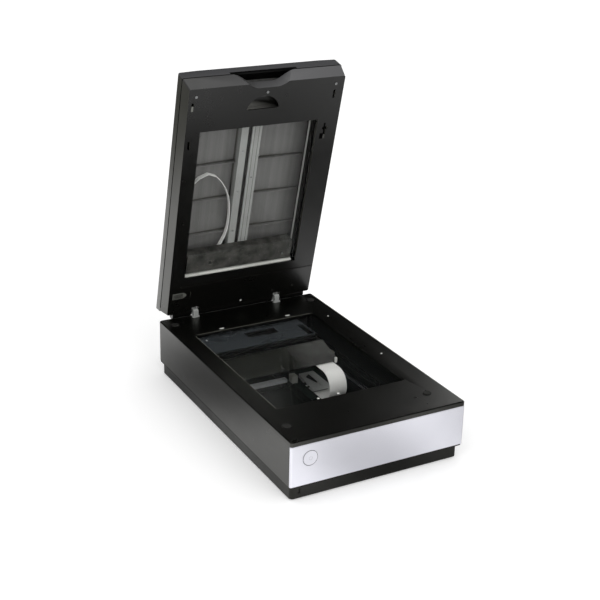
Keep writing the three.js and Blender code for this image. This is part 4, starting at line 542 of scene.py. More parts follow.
def inner_case_skin():
    """The lid's inner half: black, with paler side bands, painted light on the bevel and grip scoop, and painted
    light and shade in the finger recess.
    """
    material, tree, shader = fresh_material("lid_inner_skin")
    if shader is None:
        return material
    skin = place_group(tree, "Mould grain", Scale=CASE_GRAIN, Roughness=0.3, Variation=0.1)
    tint = skin.outputs["Tint"]
    face = rubbed(tree, tinted(tree, colours().case_black, tint), srgb(40, 40, 37))
    across = math_node(tree, "ABSOLUTE", axes(tree, coordinates(tree, "Normal"))["X"])
    face = mixed(tree, above(tree, across, 0.6), face, tinted(tree, srgb(64, 64, 59), tint))
    place = lid_place(tree)

    # Painted light and shade in the finger recess: lighter on its left, darker beyond a line that runs aslant.
    beside = math_node(tree, "ABSOLUTE", math_node(tree, "ADD", place["X"], -RECESS_MIDDLE))
    recess = product(
        tree,
        below(tree, beside, RECESS_HALF_WIDTH),
        below(tree, place["Y"], -RECESS_START),
        above(tree, place["Y"], -RECESS_END),
        above(tree, place["Z"], RECESS_SKIN),
    )
    recess_light_line = math_node(tree, "ADD", place["X"], product(tree, place["Y"], -RECESS_LIGHT_SLOPE))
    recess_light_and_shade = mixed(tree, fall(tree, recess_light_line, RECESS_LIGHT_GONE, RECESS_LIGHT_FULL), srgb(10, 10, 8), srgb(104, 104, 100))
    face = mixed(tree, recess, face, recess_light_and_shade)

    # The bevel and the grip scoop at the free edge get painted light: paler, as where light from above catches
    # them, and paler still towards the right.
    bevel = product(tree, below(tree, place["Y"], -FREE_EDGE), lid_facing(tree, (0.0, -1.0, 0.0), 0.2))
    handling_and_painted_light = mixed(
        tree, fall(tree, place["X"], BEVEL_PAINTED_SHADE_END, BEVEL_PAINTED_LIGHT_END), srgb(62, 62, 61), srgb(92, 92, 93)
    )
    dress(tree, shader, mixed(tree, bevel, face, handling_and_painted_light), skin, 0.2)
    gloss = math_node(tree, "SUBTRACT", 0.7, product(tree, recess, 0.55))
    tree.links.new(gloss, shader.inputs["Specular IOR Level"])
    return material


def cover_skin():
    """The outer cover: grey outside, bare inside, a paler rim and painted shade, near-black, in the grip scoop at
    the free edge.
    """
    material, tree, shader = fresh_material("lid_cover_skin")
    if shader is None:
        return material
    skin = place_group(tree, "Mould grain", Scale=CASE_GRAIN, Roughness=0.36, Variation=0.1)
    outside = rubbed(tree, tinted(tree, colours().cover_grey, skin.outputs["Tint"]), srgb(86, 86, 80))
    place = lid_place(tree)
    across = math_node(tree, "ABSOLUTE", place["X"])
    roof = lid_facing(tree, (0.0, 0.0, -1.0), 0.5)
    room = above(tree, place["Y"], -FREE_EDGE)
    ribs = product(tree, below(tree, place["Z"], COVER_ROOF), above(tree, place["Z"], RIB_FOOT))
    inside_face = math_node(tree, "MAXIMUM", roof, ribs)
    inward = product(tree, inside_face, room, below(tree, across, ROOM_HALF_WIDTH))
    streaks = spread(tree, noise(tree, coordinates(tree), 1.0, 3.0, 0.6, (160.0, 2.0, 2.0)), 0.82, 1.12)
    inside = tinted(tree, colours().cover_inside, streaks)
    free_edge = math_node(tree, "SUBTRACT", 1.0, room)
    # Painted shade: the grip scoop's hollow is near-black and less glossy
    low_part = math_node(tree, "MAXIMUM", roof, below(tree, place["Z"], SCOOP_TOP))
    shaded_scoop = product(tree, low_part, free_edge, below(tree, across, SCOOP_HALF_WIDTH))
    rim = product(tree, free_edge, lid_facing(tree, (0.0, -1.0, 0.0), 0.5))
    shell = mixed(tree, shaded_scoop, mixed(tree, rim, outside, srgb(74, 74, 76)), (0.003, 0.003, 0.003, 1.0))
    dress(tree, shader, mixed(tree, inward, shell, inside), skin, 0.2)
    gloss = math_node(tree, "SUBTRACT", 1.0, product(tree, shaded_scoop, 0.85))
    tree.links.new(gloss, shader.inputs["Specular IOR Level"])
    return material


def carriage_cover_skin():
    """The carriage's sloping cover: smooth and dark, with a painted cloudy reflection towards its right end."""
    material, tree, shader = fresh_material("carriage_cover_skin")
    if shader is None:
        return material
    skin = place_group(tree, "Mould grain", Scale=300.0, Roughness=0.22, Variation=0.25)
    where = coordinates(tree)
    # A painted cloudy reflection, lighter towards the cover's right end
    cloud = spread(tree, noise(tree, where, 22.0, 3.0, 0.6), 0.4, 1.1)
    painted_glare = product(tree, fall(tree, axes(tree, where)["X"], GLARE_START, GLARE_END), cloud)
    dark = tinted(tree, srgb(22, 23, 18), skin.outputs["Tint"])
    dress(tree, shader, mixed(tree, painted_glare, dark, srgb(92, 92, 90)), skin, 0.04)
    return material


def ribbon_skin():
    """Flat white cable with its conductors as fine grey lines."""
    material, tree, shader = fresh_material("ribbon_skin")
    if shader is None:
        return material
    low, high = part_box("ribbon_cable")
    pitch = (high.x - low.x) / sizes().ribbon_lines
    wave = math_node(tree, "SINE", product(tree, axes(tree, coordinates(tree))["X"], 2 * math.pi / pitch))
    skin = place_group(tree, "Mould grain", Scale=1500.0, Roughness=0.34, Variation=0.08)
    white = tinted(tree, srgb(250, 250, 246), skin.outputs["Tint"])
    lined = mixed(tree, above(tree, wave, 0.7), white, srgb(214, 215, 210))
    tree.links.new(lined, shader.inputs["Base Color"])
    tree.links.new(skin.outputs["Roughness"], shader.inputs["Roughness"])
    bump(tree, wave, shader, 0.1, LINE_HEIGHT)
    return material


def mottled(name, colour, dark, rough, scale):
    """A dull, stained surface: a colour broken by darker patches."""
    material, tree, shader = fresh_material(name)
    if shader is None:
        return material
    where = coordinates(tree)
    patches = spread(tree, noise(tree, where, scale, 5.0, 0.65), 0.0, 1.0)
    tree.links.new(mixed(tree, patches, colour, dark), shader.inputs["Base Color"])
    tree.links.new(spread(tree, patches, rough, rough + 0.15), shader.inputs["Roughness"])
    bump(tree, noise(tree, where, 900.0), shader, 0.2, GRAIN_HEIGHT)
    return material


def silver_paint(name):
    """Satin silver paint: fine flake, a slight cloudiness and soft gloss."""
    material, tree, shader = fresh_material(name)
    if shader is None:
        return material
    shader.inputs["Metallic"].default_value = 0.6
    where = coordinates(tree)
    flake = noise(tree, where, 2600.0, 2.0, 0.7)
    cloud = noise(tree, where, 9.0, 3.0, 0.5)
    tint = product(tree, spread(tree, flake, 0.95, 1.04), spread(tree, cloud, 0.97, 1.02))
    tree.links.new(tinted(tree, colours().silver, tint), shader.inputs["Base Color"])
    tree.links.new(spread(tree, flake, 0.3, 0.42), shader.inputs["Roughness"])
    bump(tree, flake, shader, 0.08, LINE_HEIGHT)
    return material


def case_plastic(name, colour, rough, rub, gloss=0.5):
    """The moulded plastic of the shells, rubbed at its edges."""
    return moulded(name, colour, rough, CASE_GRAIN, 0.2, rub, 0.1, gloss)


# A maker for the finish of each slot in the record, given the material's name
SLOT_FINISHES = {
    "black_case": lambda name: case_plastic(name, colours().case_black, 0.3, srgb(34, 34, 31), 0.8),
    "grey_case": lambda name: case_plastic(name, colours().cover_grey, 0.36, srgb(60, 60, 56)),
    "silver_front": silver_paint,
    "button_plastic": lambda name: moulded(name, srgb(218, 218, 226), 0.32, 2400.0, 0.08),
    "gloss_black": lambda name: moulded(name, srgb(20, 21, 20), 0.12, 400.0, 0.04, None, 0.08),
    "blue_plate": lambda name: moulded(name, srgb(40, 44, 49), 0.16, 500.0, 0.04),
    "clear_glass": lambda name: clear_glass(name, 0.8),
    "foot_rubber": lambda name: moulded(name, srgb(38, 38, 37), 0.8, 900.0, 0.5, None, 0.15),
    "ground_steel": lambda name: metal(name, srgb(196, 198, 200), 0.24),
    "sheet_metal": lambda name: metal(name, srgb(134, 138, 139), 0.38, (60.0, 60.0, 60.0)),
    "bronze": lambda name: metal(name, srgb(176, 140, 86), 0.36, (300.0, 300.0, 300.0)),
    "light_plastic": lambda name: moulded(
        name, colours().light_plastic, 0.4, 1800.0, 0.15, srgb(205, 206, 204)
    ),
    "nylon": lambda name: moulded(name, srgb(208, 208, 198), 0.42, 1500.0, 0.12),
    "lamp_white": lambda name: moulded(name, srgb(206, 208, 202), 0.28, 1200.0, 0.05),
    "ribbon": lambda name: moulded(name, srgb(248, 248, 244), 0.34, 1500.0, 0.06),
    "circuit_board": lambda name: moulded(name, srgb(24, 68, 46), 0.36, 700.0, 0.2),
    "socket_black": lambda name: moulded(name, srgb(30, 30, 30), 0.45, 1500.0, 0.2),
}

# Pieces that differ from the other pieces of their finish
OWN_FINISHES = {
    "bottom_case": lambda: case_plastic("tray_skin", srgb(12, 12, 10), 0.4, srgb(34, 34, 31), 0.35),
    "carriage_cover": carriage_cover_skin,
    "carriage_plate": lambda: moulded("carriage_plate_skin", srgb(58, 62, 65), 0.2, 500.0, 0.04, None, 0.15),
    "power_plug": lambda: moulded("plug_skin", srgb(196, 198, 190), 0.45, 1500.0, 0.1),
    "lid_window_glass": lambda: clear_glass("window_glass", 0.12),
    "stiffener_bar": lambda: metal("bar_steel", srgb(226, 230, 230), 0.42, (10.0, 500.0, 500.0), 0.3),
    "board_shield": lambda: metal("shield_steel", srgb(218, 221, 218), 0.45, (60.0, 60.0, 60.0), 0.3),
    "lamp_carriage": lambda: mottled("lamp_block_skin", srgb(84, 84, 79), srgb(30, 30, 28), 0.5, 45.0),
    "lid_inner_case": inner_case_skin,
    "ribbon_cable": ribbon_skin,
    "lid_outer_cover": cover_skin,
    "main_board": lambda: moulded("main_board_skin", srgb(16, 32, 25), 0.4, 700.0, 0.2),
    "lid_lock_slider": lambda: moulded("lock_slider_skin", srgb(96, 97, 92), 0.5, 1500.0, 0.2),
}


def finish_of(slot, node=None):
    """The material of a slot in the record, or the node's own where it has one."""
    if node in OWN_FINISHES:
        return OWN_FINISHES[node]()
    name = "finish_" + slot
    return bpy.data.materials.get(name) or SLOT_FINISHES[slot](name)


# Meshes

def placed(name, data):
    """An object of the scene that shows some data."""
    thing = bpy.data.objects.new(name, data)
    bpy.context.scene.collection.objects.link(thing)
    return thing


def smooth_mesh(name, bm, angle):
    """A mesh from a bmesh, with smooth shading up to an angle in degrees."""
    mesh = bpy.data.meshes.new(name)
    bm.to_mesh(mesh)
    bm.free()
    for face in mesh.polygons:
        face.use_smooth = True
    mesh.set_sharp_from_angle(angle=math.radians(angle))
    return mesh


def mesh_from(name, bm, angle=FLAT_ANGLE, matrix=None):
    """Turns a bmesh into a smooth mesh with outward faces, moved by a matrix where asked."""
    bmesh.ops.remove_doubles(bm, verts=bm.verts, dist=OWN_WELD)
    bmesh.ops.recalc_face_normals(bm, faces=bm.faces)
    if matrix:
        bmesh.ops.transform(bm, matrix=matrix, verts=bm.verts)
    return smooth_mesh(name, bm, angle)


def bake_modifiers(piece):
    """Replaces the object's mesh by the evaluated one and removes the modifiers."""
    bpy.context.view_layer.update()
    evaluated = piece.evaluated_get(bpy.context.evaluated_depsgraph_get())
    mesh = bpy.data.meshes.new_from_object(evaluated)
    piece.modifiers.clear()
    piece.data = mesh


def round_edges(piece, width, angle=FLAT_ANGLE):
    """Rounds the edges of a mesh that are sharper than an angle, for good."""
    rounding = piece.modifiers.new("Rounded edges", "BEVEL")
    rounding.width = width
    rounding.segments = 2
    rounding.limit_method = "ANGLE"
    rounding.angle_limit = math.radians(angle)
    rounding.harden_normals = True
    bake_modifiers(piece)


def mount(piece, material, body):
    """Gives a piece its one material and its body."""
    piece.data.materials.clear()
    piece.data.materials.append(material)
    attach(piece, body)


def link(name, mesh, material, body, edge=0.0):
    """A mesh as a piece that rides on a body, its edges rounded where asked."""
    piece = placed(name, mesh)
    if edge:
        round_edges(piece, edge)
    mount(piece, material, body)


def smooth_shell(node, name, bevel=None, angle=SHELL_ANGLE):
    """A node's own shape as one welded mesh with smooth curves and, where asked, rounded edges."""
    bm = bmesh.new()
    bm.from_mesh(frame["nodes"][node].data)
    bmesh.ops.remove_doubles(bm, verts=bm.verts, dist=NODE_WELD)
    bmesh.ops.dissolve_limit(
        bm,
        angle_limit=math.radians(JOIN_ANGLE),
        use_dissolve_boundaries=False,
        verts=bm.verts,
        edges=bm.edges,
    )
    piece = placed(name, smooth_mesh(name, bm, angle))
    if bevel:
        round_edges(piece, bevel, angle)
    mount(piece, finish_of(SLOTS[node], node), BODIES[node])
    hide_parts(node)


def add_disc(bm, centre, radius, height, dome=0.0):
    """A short cylinder standing on centre, its top rounded by dome."""
    rings = [(radius, 0.0), (radius, height - dome)]
    if dome:
        shoulder = (radius - dome * SHOULDER_IN_SHARE, height - dome * SHOULDER_DOWN_SHARE)
        rings += [shoulder, (radius - dome * CROWN_IN_SHARE, height)]
    loops = []
    for r, z in rings:
        loops.append([
            bm.verts.new((
                centre[0] + r * math.cos(2 * math.pi * i / DISC_STEPS),
                centre[1] + r * math.sin(2 * math.pi * i / DISC_STEPS),
                centre[2] + z,
            ))
            for i in range(DISC_STEPS)
        ])
    for low, high in zip(loops, loops[1:]):
        for i in range(DISC_STEPS):
            j = (i + 1) % DISC_STEPS
            bm.faces.new((low[i], low[j], high[j], high[i]))
    bm.faces.new(loops[-1])
    bm.faces.new(reversed(loops[0]))


def add_half_disc(bm, centre, radius, height):
    """A half-round plate, its straight side to the back."""
    low, high = [], []
    for i in range(HALF_DISC_STEPS + 1):
        turn = math.pi + math.pi * i / HALF_DISC_STEPS
        x, y = centre[0] + radius * math.cos(turn), centre[1] + radius * math.sin(turn)
        low.append(bm.verts.new((x, y, centre[2])))
        high.append(bm.verts.new((x, y, centre[2] + height)))
    count = len(low)
    for i in range(count):
        j = (i + 1) % count
        bm.faces.new((low[i], low[j], high[j], high[i]))
    bm.faces.new(high)
    bm.faces.new(reversed(low))


def add_block(bm, low, high):
    """A block between two corners."""
    verts = [
        bm.verts.new((x, y, z))
        for x in (low[0], high[0])
        for y in (low[1], high[1])
        for z in (low[2], high[2])
    ]
    sides = ((0, 1, 3, 2), (4, 6, 7, 5), (0, 4, 5, 1), (2, 3, 7, 6), (0, 2, 6, 4), (1, 5, 7, 3))
    for side in sides:
        bm.faces.new([verts[corner] for corner in side])


def add_ring(bm, inner, outer, depth, steps=48, start=0.0, sweep=2 * math.pi):
    """A flat ring or part of one about the Z axis, its top face at depth."""
    closed = sweep >= 2 * math.pi - 1e-6
    count = steps if closed else steps + 1
    section = ((inner, 0), (outer, 0), (outer, depth), (inner, depth))
    rows = []
    for i in range(count):
        turn = start + sweep * i / steps
        c, s = math.cos(turn), math.sin(turn)
        rows.append([bm.verts.new((r * c, r * s, z)) for r, z in section])
    for i in range(steps):
        a, b = rows[i], rows[(i + 1) % count]
        for k in range(4):
            bm.faces.new((a[k], b[k], b[(k + 1) % 4], a[(k + 1) % 4]))
    if not closed:
        bm.faces.new(rows[0])
        bm.faces.new(reversed(rows[-1]))


def discs(name, places, radius, height, material, body, matrix=None, dome=0.0):
    """Small round pieces of one kind as one mesh."""
    bm = bmesh.new()
    for place in places:
        add_disc(bm, place, radius, height, dome)
    link(name, mesh_from(name, bm, ROUND_ANGLE, matrix), material, body)


def blocks(name, corners, material, body, matrix=None, edge=0.0):
    """Blocks given by opposite corners as one mesh, their edges rounded where asked."""
    bm = bmesh.new()
    for low, high in corners:
        add_block(bm, low, high)
    link(name, mesh_from(name, bm, FLAT_ANGLE, matrix), material, body, edge)


def on_base(x, y, z):
    """A point of the base, from millimetres about its middle, with z from the floor."""
    return Vector((x * MM, CENTRE_Y + y * MM, z * MM))


def in_lid(across, along, up):
    """A point in the shut lid's own axes, from millimetres."""
    return Vector((across * MM, -along * MM, up * MM))


def on_lid(across, along, up):
    """A point of the open lid, from millimetres in the shut lid's own axes."""
    return lid_matrix() @ in_lid(across, along, up)


def lid_blocks(name, places, material, body="lid", edge=0.0):
    """Blocks of the lid as one mesh, each from its start and end across, along and up."""
    corners = [(in_lid(u0, v1, w0), in_lid(u1, v0, w1)) for u0, u1, v0, v1, w0, w1 in places]
    blocks(name, corners, material, body, lid_matrix(), edge)


# Screws by Geometry Nodes

def screw_tree():
    """A pan-head screw with a cross recess, set on each point of a mesh and turned as its input says."""
    tree = bpy.data.node_groups.get("Pan head screws")
    if tree:
        return tree
    tree = bpy.data.node_groups.new("Pan head screws", "GeometryNodeTree")
    face = tree.interface
    face.new_socket("Points", in_out="INPUT", socket_type="NodeSocketGeometry")
    radius = face.new_socket("Head radius", in_out="INPUT", socket_type="NodeSocketFloat")
    radius.default_value = SCREW_RADIUS
    height = face.new_socket("Head height", in_out="INPUT", socket_type="NodeSocketFloat")
    height.default_value = SCREW_HEIGHT
    turn = face.new_socket("Turn", in_out="INPUT", socket_type="NodeSocketVector")
    turn.default_value = UPRIGHT
    face.new_socket("Metal", in_out="INPUT", socket_type="NodeSocketMaterial")
    face.new_socket("Geometry", in_out="OUTPUT", socket_type="NodeSocketGeometry")
    nodes = tree.nodes
    given = nodes.new("NodeGroupInput")
    out = nodes.new("NodeGroupOutput")
    head = nodes.new("GeometryNodeMeshCylinder")
    head.fill_type = "NGON"
    head.inputs["Vertices"].default_value = SCREW_SIDES
    tree.links.new(given.outputs["Head radius"], head.inputs["Radius"])
    tree.links.new(given.outputs["Head height"], head.inputs["Depth"])

    def share_of(socket, factor):
        """A size of the head, times a factor."""
        node = nodes.new("ShaderNodeMath")
        node.operation = "MULTIPLY"
        tree.links.new(socket, node.inputs[0])
        node.inputs[1].default_value = factor
        return node.outputs[0]

    def size_of(x, y, z):
        """Three sizes as one vector."""
        node = nodes.new("ShaderNodeCombineXYZ")
        for label, socket in zip("XYZ", (x, y, z)):
            tree.links.new(socket, node.inputs[label])
        return node.outputs[0]

    long_arm = share_of(given.outputs["Head radius"], CROSS_LENGTH_SHARE)
    short_arm = share_of(given.outputs["Head radius"], CROSS_WIDTH_SHARE)
    arms = []
    for x, y in ((long_arm, short_arm), (short_arm, long_arm)):
        arm = nodes.new("GeometryNodeMeshCube")
        tree.links.new(size_of(x, y, given.outputs["Head height"]), arm.inputs["Size"])
        arms.append(arm.outputs["Mesh"])
    lift = nodes.new("ShaderNodeCombineXYZ")
    tree.links.new(share_of(given.outputs["Head height"], CROSS_LIFT_SHARE), lift.inputs["Z"])
    cross = nodes.new("GeometryNodeMeshBoolean")
    cross.operation = "UNION"
    for arm in arms:
        tree.links.new(arm, cross.inputs["Mesh 2"])
    raised = nodes.new("GeometryNodeTransform")
    tree.links.new(cross.outputs["Mesh"], raised.inputs["Geometry"])
    tree.links.new(lift.outputs[0], raised.inputs["Translation"])
    carve = nodes.new("GeometryNodeMeshBoolean")
    carve.operation = "DIFFERENCE"
    tree.links.new(head.outputs["Mesh"], carve.inputs["Mesh 1"])
    tree.links.new(raised.outputs["Geometry"], carve.inputs["Mesh 2"])
    turned = nodes.new("FunctionNodeEulerToRotation")
    tree.links.new(given.outputs["Turn"], turned.inputs[0])
    put = nodes.new("GeometryNodeInstanceOnPoints")
    tree.links.new(given.outputs["Points"], put.inputs["Points"])
    tree.links.new(carve.outputs["Mesh"], put.inputs["Instance"])
    tree.links.new(turned.outputs[0], put.inputs["Rotation"])
    real = nodes.new("GeometryNodeRealizeInstances")
    tree.links.new(put.outputs[0], real.inputs[0])
    skin = nodes.new("GeometryNodeSetMaterial")
    tree.links.new(real.outputs[0], skin.inputs["Geometry"])
    tree.links.new(given.outputs["Metal"], skin.inputs["Material"])
    tree.links.new(skin.outputs[0], out.inputs[0])
    return tree


def set_input(modifier, label, value):
    """Sets a modifier's input by the identifier of the socket with that name."""
    for item in modifier.node_group.interface.items_tree:
        if item.item_type == "SOCKET" and item.in_out == "INPUT" and item.name == label:
            modifier[item.identifier] = value
            return
    raise KeyError(label)


def screws(name, points, body, material, turn, radius, height=SCREW_HEIGHT):
    """Screws of one kind on one body, as a plain mesh."""
    mesh = bpy.data.meshes.new(name)
    mesh.from_pydata([tuple(p) for p in points], [], [])
    piece = placed(name, mesh)
    modifier = piece.modifiers.new("Screws", "NODES")
    modifier.node_group = screw_tree()
    set_input(modifier, "Head radius", radius)
    set_input(modifier, "Head height", height)
    set_input(modifier, "Turn", turn)
    set_input(modifier, "Metal", material)
    bake_modifiers(piece)
    mount(piece, material, body)


class SCANNER_OT_paint_nodes(bpy.types.Operator):
    """Gives every piece of the machine its finish"""

    bl_idname = "scanner.paint_nodes"
    bl_label = "Paint the pieces"

    def execute(self, context):
        for node, piece in frame["nodes"].items():
            piece.data.materials.clear()
            piece.data.materials.append(finish_of(SLOTS[node], node))
        return {"FINISHED"}


class SCANNER_OT_shells(bpy.types.Operator):
    """Makes the outer shells with rounded edges and smooth curves"""

    bl_idname = "scanner.shells"
    bl_label = "Smooth shells"

    def execute(self, context):
        edge = sizes().edge_radius
        smooth_shell("lid_outer_cover", "cover_shell", edge)
        smooth_shell("lid_inner_case", "lid_case_shell", edge)
        smooth_shell("upper_housing", "housing_shell", edge)
        smooth_shell("front_panel", "silver_panel", edge * PANEL_EDGE_SHARE)
        smooth_shell("bottom_case", "tray_shell", edge)
        smooth_shell("power_button", "button_cap")
        return {"FINISHED"}


class SCANNER_OT_small_rounds(bpy.types.Operator):
    """Smooths the round and bent pieces that show through the glass and at the hinge"""

    bl_idname = "scanner.small_rounds"
    bl_label = "Smooth small pieces"

    def execute(self, context):
        edge = sizes().edge_radius
        for node in ("hinge_post_left", "hinge_post_right"):
            smooth_shell(node, node + "_smooth", edge)
        for node in ("ribbon_cable", "lid_ribbon_cable", "guide_rod", "rod_bushing"):
            smooth_shell(node, node + "_smooth", angle=BENT_ANGLE)
        for node in ("carriage_cover", "carriage_plate", "carriage_frame", "carriage_arm"):
            smooth_shell(node, node + "_smooth", edge)
        for corner in ("rear_left", "rear_right", "front_left", "front_right"):
            for node in ("pad_" + corner, "foot_" + corner):
                smooth_shell(node, node + "_smooth", angle=ROUND_ANGLE)
        return {"FINISHED"}


# Screws in the lid's face: across from its middle and along from its rear edge
LID_FACE_SCREWS = ((-129.6, 428.2), (-2.0, 425.3), (126.0, 428.7))
SCREW_SINK = 0.2


class SCANNER_OT_lid_screws(bpy.types.Operator):
    """Sets the screws of the lid's inner face"""

    bl_idname = "scanner.lid_screws"
    bl_label = "Lid screws"

    def execute(self, context):
        places = [on_lid(across, along, -SCREW_SINK) for across, along in LID_FACE_SCREWS]
        screws("lid_face_screws", places, "lid", zinc(), LID_TURN_BACK, sizes().screw_radius)
        return {"FINISHED"}


# Marks beside the bed: across from the middle of the base and along from it
BED_DOTS = ((128.1, 137.8), (129.6, -41.4))
BED_DOT_SOCKETS = ((121.3, 138.6), (123.5, -50.0))
BED_HALF_MARKS = ((-67.9, 171.6), (63.4, 173.6))
BED_BUMPS = ((-44.5, -134.5), (-7.6, -133.2))
BED_BUMP_FOOT = 93.75
MARK_SINK = 0.1
DOT_HEIGHT = 0.4 * MM
SOCKET_HEIGHT = 0.2 * MM
HALF_MARK_RADIUS, HALF_MARK_HEIGHT = 4.6 * MM, 0.35 * MM
BUMP_RADIUS, BUMP_HEIGHT, BUMP_DOME = 2.2 * MM, 0.5 * MM, 0.15 * MM

# Thin lines at the bed's edge, from corner to corner across and along, with foot and rise over the top: the left
# and rear lines are painted highlights, the bead is moulded case plastic
LEFT_LINE, LEFT_LINE_FOOT, LEFT_LINE_RISE = ((-123.5, -141.0), (-122.9, 158.0)), 96.6, 0.02
REAR_LINE, REAR_LINE_RISE = ((-119.0, 162.4), (106.0, 163.1)), 0.05
LEFT_BEAD, LEFT_BEAD_FOOT, LEFT_BEAD_RISE = ((-124.7, -141.5), (-123.5, 158.5)), 96.2, 0.01


class SCANNER_OT_bed_marks(bpy.types.Operator):
    """Sets the marks round the bed, and painted highlights as thin lines along its edges"""

    bl_idname = "scanner.bed_marks"
    bl_label = "Bed marks"

    def execute(self, context):
        radius = sizes().mark_radius
        pale = pale_mark()
        top = TOP / MM
        foot = top - MARK_SINK
        spots = [on_base(x, y, foot) for x, y in BED_DOTS]
        discs("bed_dots", spots, radius, DOT_HEIGHT, pale, "base")
        spots = [on_base(x, y, foot) for x, y in BED_DOT_SOCKETS]
        discs("bed_dot_sockets", spots, radius, SOCKET_HEIGHT, dark_mark(), "base")
        bm = bmesh.new()
        for x, y in BED_HALF_MARKS:
            add_half_disc(bm, on_base(x, y, foot), HALF_MARK_RADIUS, HALF_MARK_HEIGHT)
        link("bed_half_marks", mesh_from("bed_half_marks", bm), pale, "base")
        # Painted highlights: pale thin lines along the bed's left and rear edges
        edge_highlight = mark_skin("bed_seam", srgb(128, 128, 120), 0.4)
        lines = [
            (on_base(*LEFT_LINE[0], LEFT_LINE_FOOT), on_base(*LEFT_LINE[1], top + LEFT_LINE_RISE)),
            (on_base(*REAR_LINE[0], foot), on_base(*REAR_LINE[1], top + REAR_LINE_RISE)),
        ]
        blocks("bed_edge_lines", lines, edge_highlight, "base")
        bead = [(on_base(*LEFT_BEAD[0], LEFT_BEAD_FOOT), on_base(*LEFT_BEAD[1], top + LEFT_BEAD_RISE))]
        blocks("bed_edge_bead", bead, finish_of("black_case"), "base")
        spots = [on_base(x, y, BED_BUMP_FOOT) for x, y in BED_BUMPS]
        discs(
            "bed_edge_bumps", spots, BUMP_RADIUS, BUMP_HEIGHT, pale, "base", dome=BUMP_DOME
        )
        return {"FINISHED"}


# The ring round the button, and the broken ring and bar of its sign
GAP_OVERLAP, GAP_REACH, GAP_HEIGHT = 0.1 * MM, 0.5 * MM, 0.06 * MM
SIGN_INNER, SIGN_OUTER = 2.5 * MM, 3.0 * MM
SIGN_START, SIGN_SWEEP = math.radians(120), math.radians(300)
SIGN_STEPS = 30
BAR_HALF_WIDTH, BAR_FOOT, BAR_TOP = 0.25 * MM, 1.2 * MM, 3.6 * MM
PRINT_HEIGHT, PRINT_LIFT = 0.05 * MM, 0.03 * MM


class SCANNER_OT_button_marks(bpy.types.Operator):
    """Rings the power button and prints a faint on-off sign on it"""

    bl_idname = "scanner.button_marks"
    bl_label = "Button marks"

    def execute(self, context):
        middle = (BUTTON_LOW + BUTTON_HIGH) / 2
        radius = (BUTTON_HIGH.x - BUTTON_LOW.x) / 2
        to_front = Matrix.Rotation(math.radians(90), 4, "X")
        panel = Matrix.Translation((middle.x, FRONT_LOW.y, middle.z)) @ to_front
        bm = bmesh.new()
        add_ring(bm, radius - GAP_OVERLAP, radius + GAP_REACH, GAP_HEIGHT)
        ring_mesh = mesh_from("button_gap", bm, ROUND_ANGLE, panel)
        link("button_gap", ring_mesh, mark_skin("button_gap", srgb(92, 92, 98)), "base")
        bm = bmesh.new()
        add_ring(bm, SIGN_INNER, SIGN_OUTER, PRINT_HEIGHT, SIGN_STEPS, SIGN_START, SIGN_SWEEP)
        add_block(bm, (-BAR_HALF_WIDTH, BAR_FOOT, 0), (BAR_HALF_WIDTH, BAR_TOP, PRINT_HEIGHT))
        cap = Matrix.Translation((0, BUTTON_LOW.y - FRONT_LOW.y + PRINT_LIFT, 0)) @ panel
        sign_mesh = mesh_from("button_sign", bm, ROUND_ANGLE, cap)
        print_grey = moulded("button_print", srgb(178, 178, 184), 0.4, MARK_GRAIN, 0.03)
        link("button_sign", sign_mesh, print_grey, "button")
        return {"FINISHED"}


# Dots in the lid's face: across, along and up, and their sizes
LID_DOTS = ((1.3, 5.7, -0.3),)
LID_SINK_MARKS = ((64.4, 15.7, -0.3), (105.6, 19.0, -0.3))
LID_DOT_RADIUS, SINK_MARK_RADIUS, LID_DOT_HEIGHT = 1.5 * MM, 1.2 * MM, 0.5 * MM

# Blocks of the lid: start and end across, start and end along, start and end up
SLOT_CLIP = (-136.4, -132.6, 400.5, 411.5, 0.1, 1.6)
CLIP_EDGE = 0.3 * MM

# Painted shade: dark backs behind three long slots, a painted shadow line at the recess's flat edge and the arms
# of the T-shaped slot painted dark as a hole
SLOT_SHADES = (
    (-138.0, -129.0, 322.0, 356.0, 2.8, 3.2),
    (-138.0, -129.0, 398.0, 424.0, 2.8, 3.2),
    (108.0, 121.0, 322.0, 358.0, 2.8, 3.2),
    (-34.0, 19.0, 395.2, 396.4, -0.04, 0.3),
    (115.6, 118.8, 346.0, 355.5, -0.05, 0.4),
    (110.4, 116.8, 325.5, 336.0, -0.05, 0.4),
)
SLOT_LOBE = (117.4, 120.6, 325.5, 333.5, -0.06, 0.4)
WINDOW_RAIL = (98.7, 102.2, 80.5, 362.5, 5.7, 24.0)
# A painted highlight: a pale thin line along the face of the window's side rail
WINDOW_LINE = (98.4, 98.65, 80.5, 362.5, 16.0, 21.0)
PARTING_LINES = (
    (-146.06, -145.9, 2.0, 449.0, 22.8, 24.9),
    (145.9, 146.06, 2.0, 449.0, 22.8, 24.9),
    (-144.5, -60.5, 450.6, 450.76, 22.8, 24.9),
    (58.5, 144.5, 450.6, 450.76, 22.8, 24.9),
)

# The lock slider's grooves: how many, their start, pitch and width across, and their run along and up
GROOVES = 8
GROOVE_START = -133.5
GROOVE_PITCH = 2.3
GROOVE_WIDTH = 0.9
GROOVE_RUN = (34.0, 43.0, -0.75, -0.55)


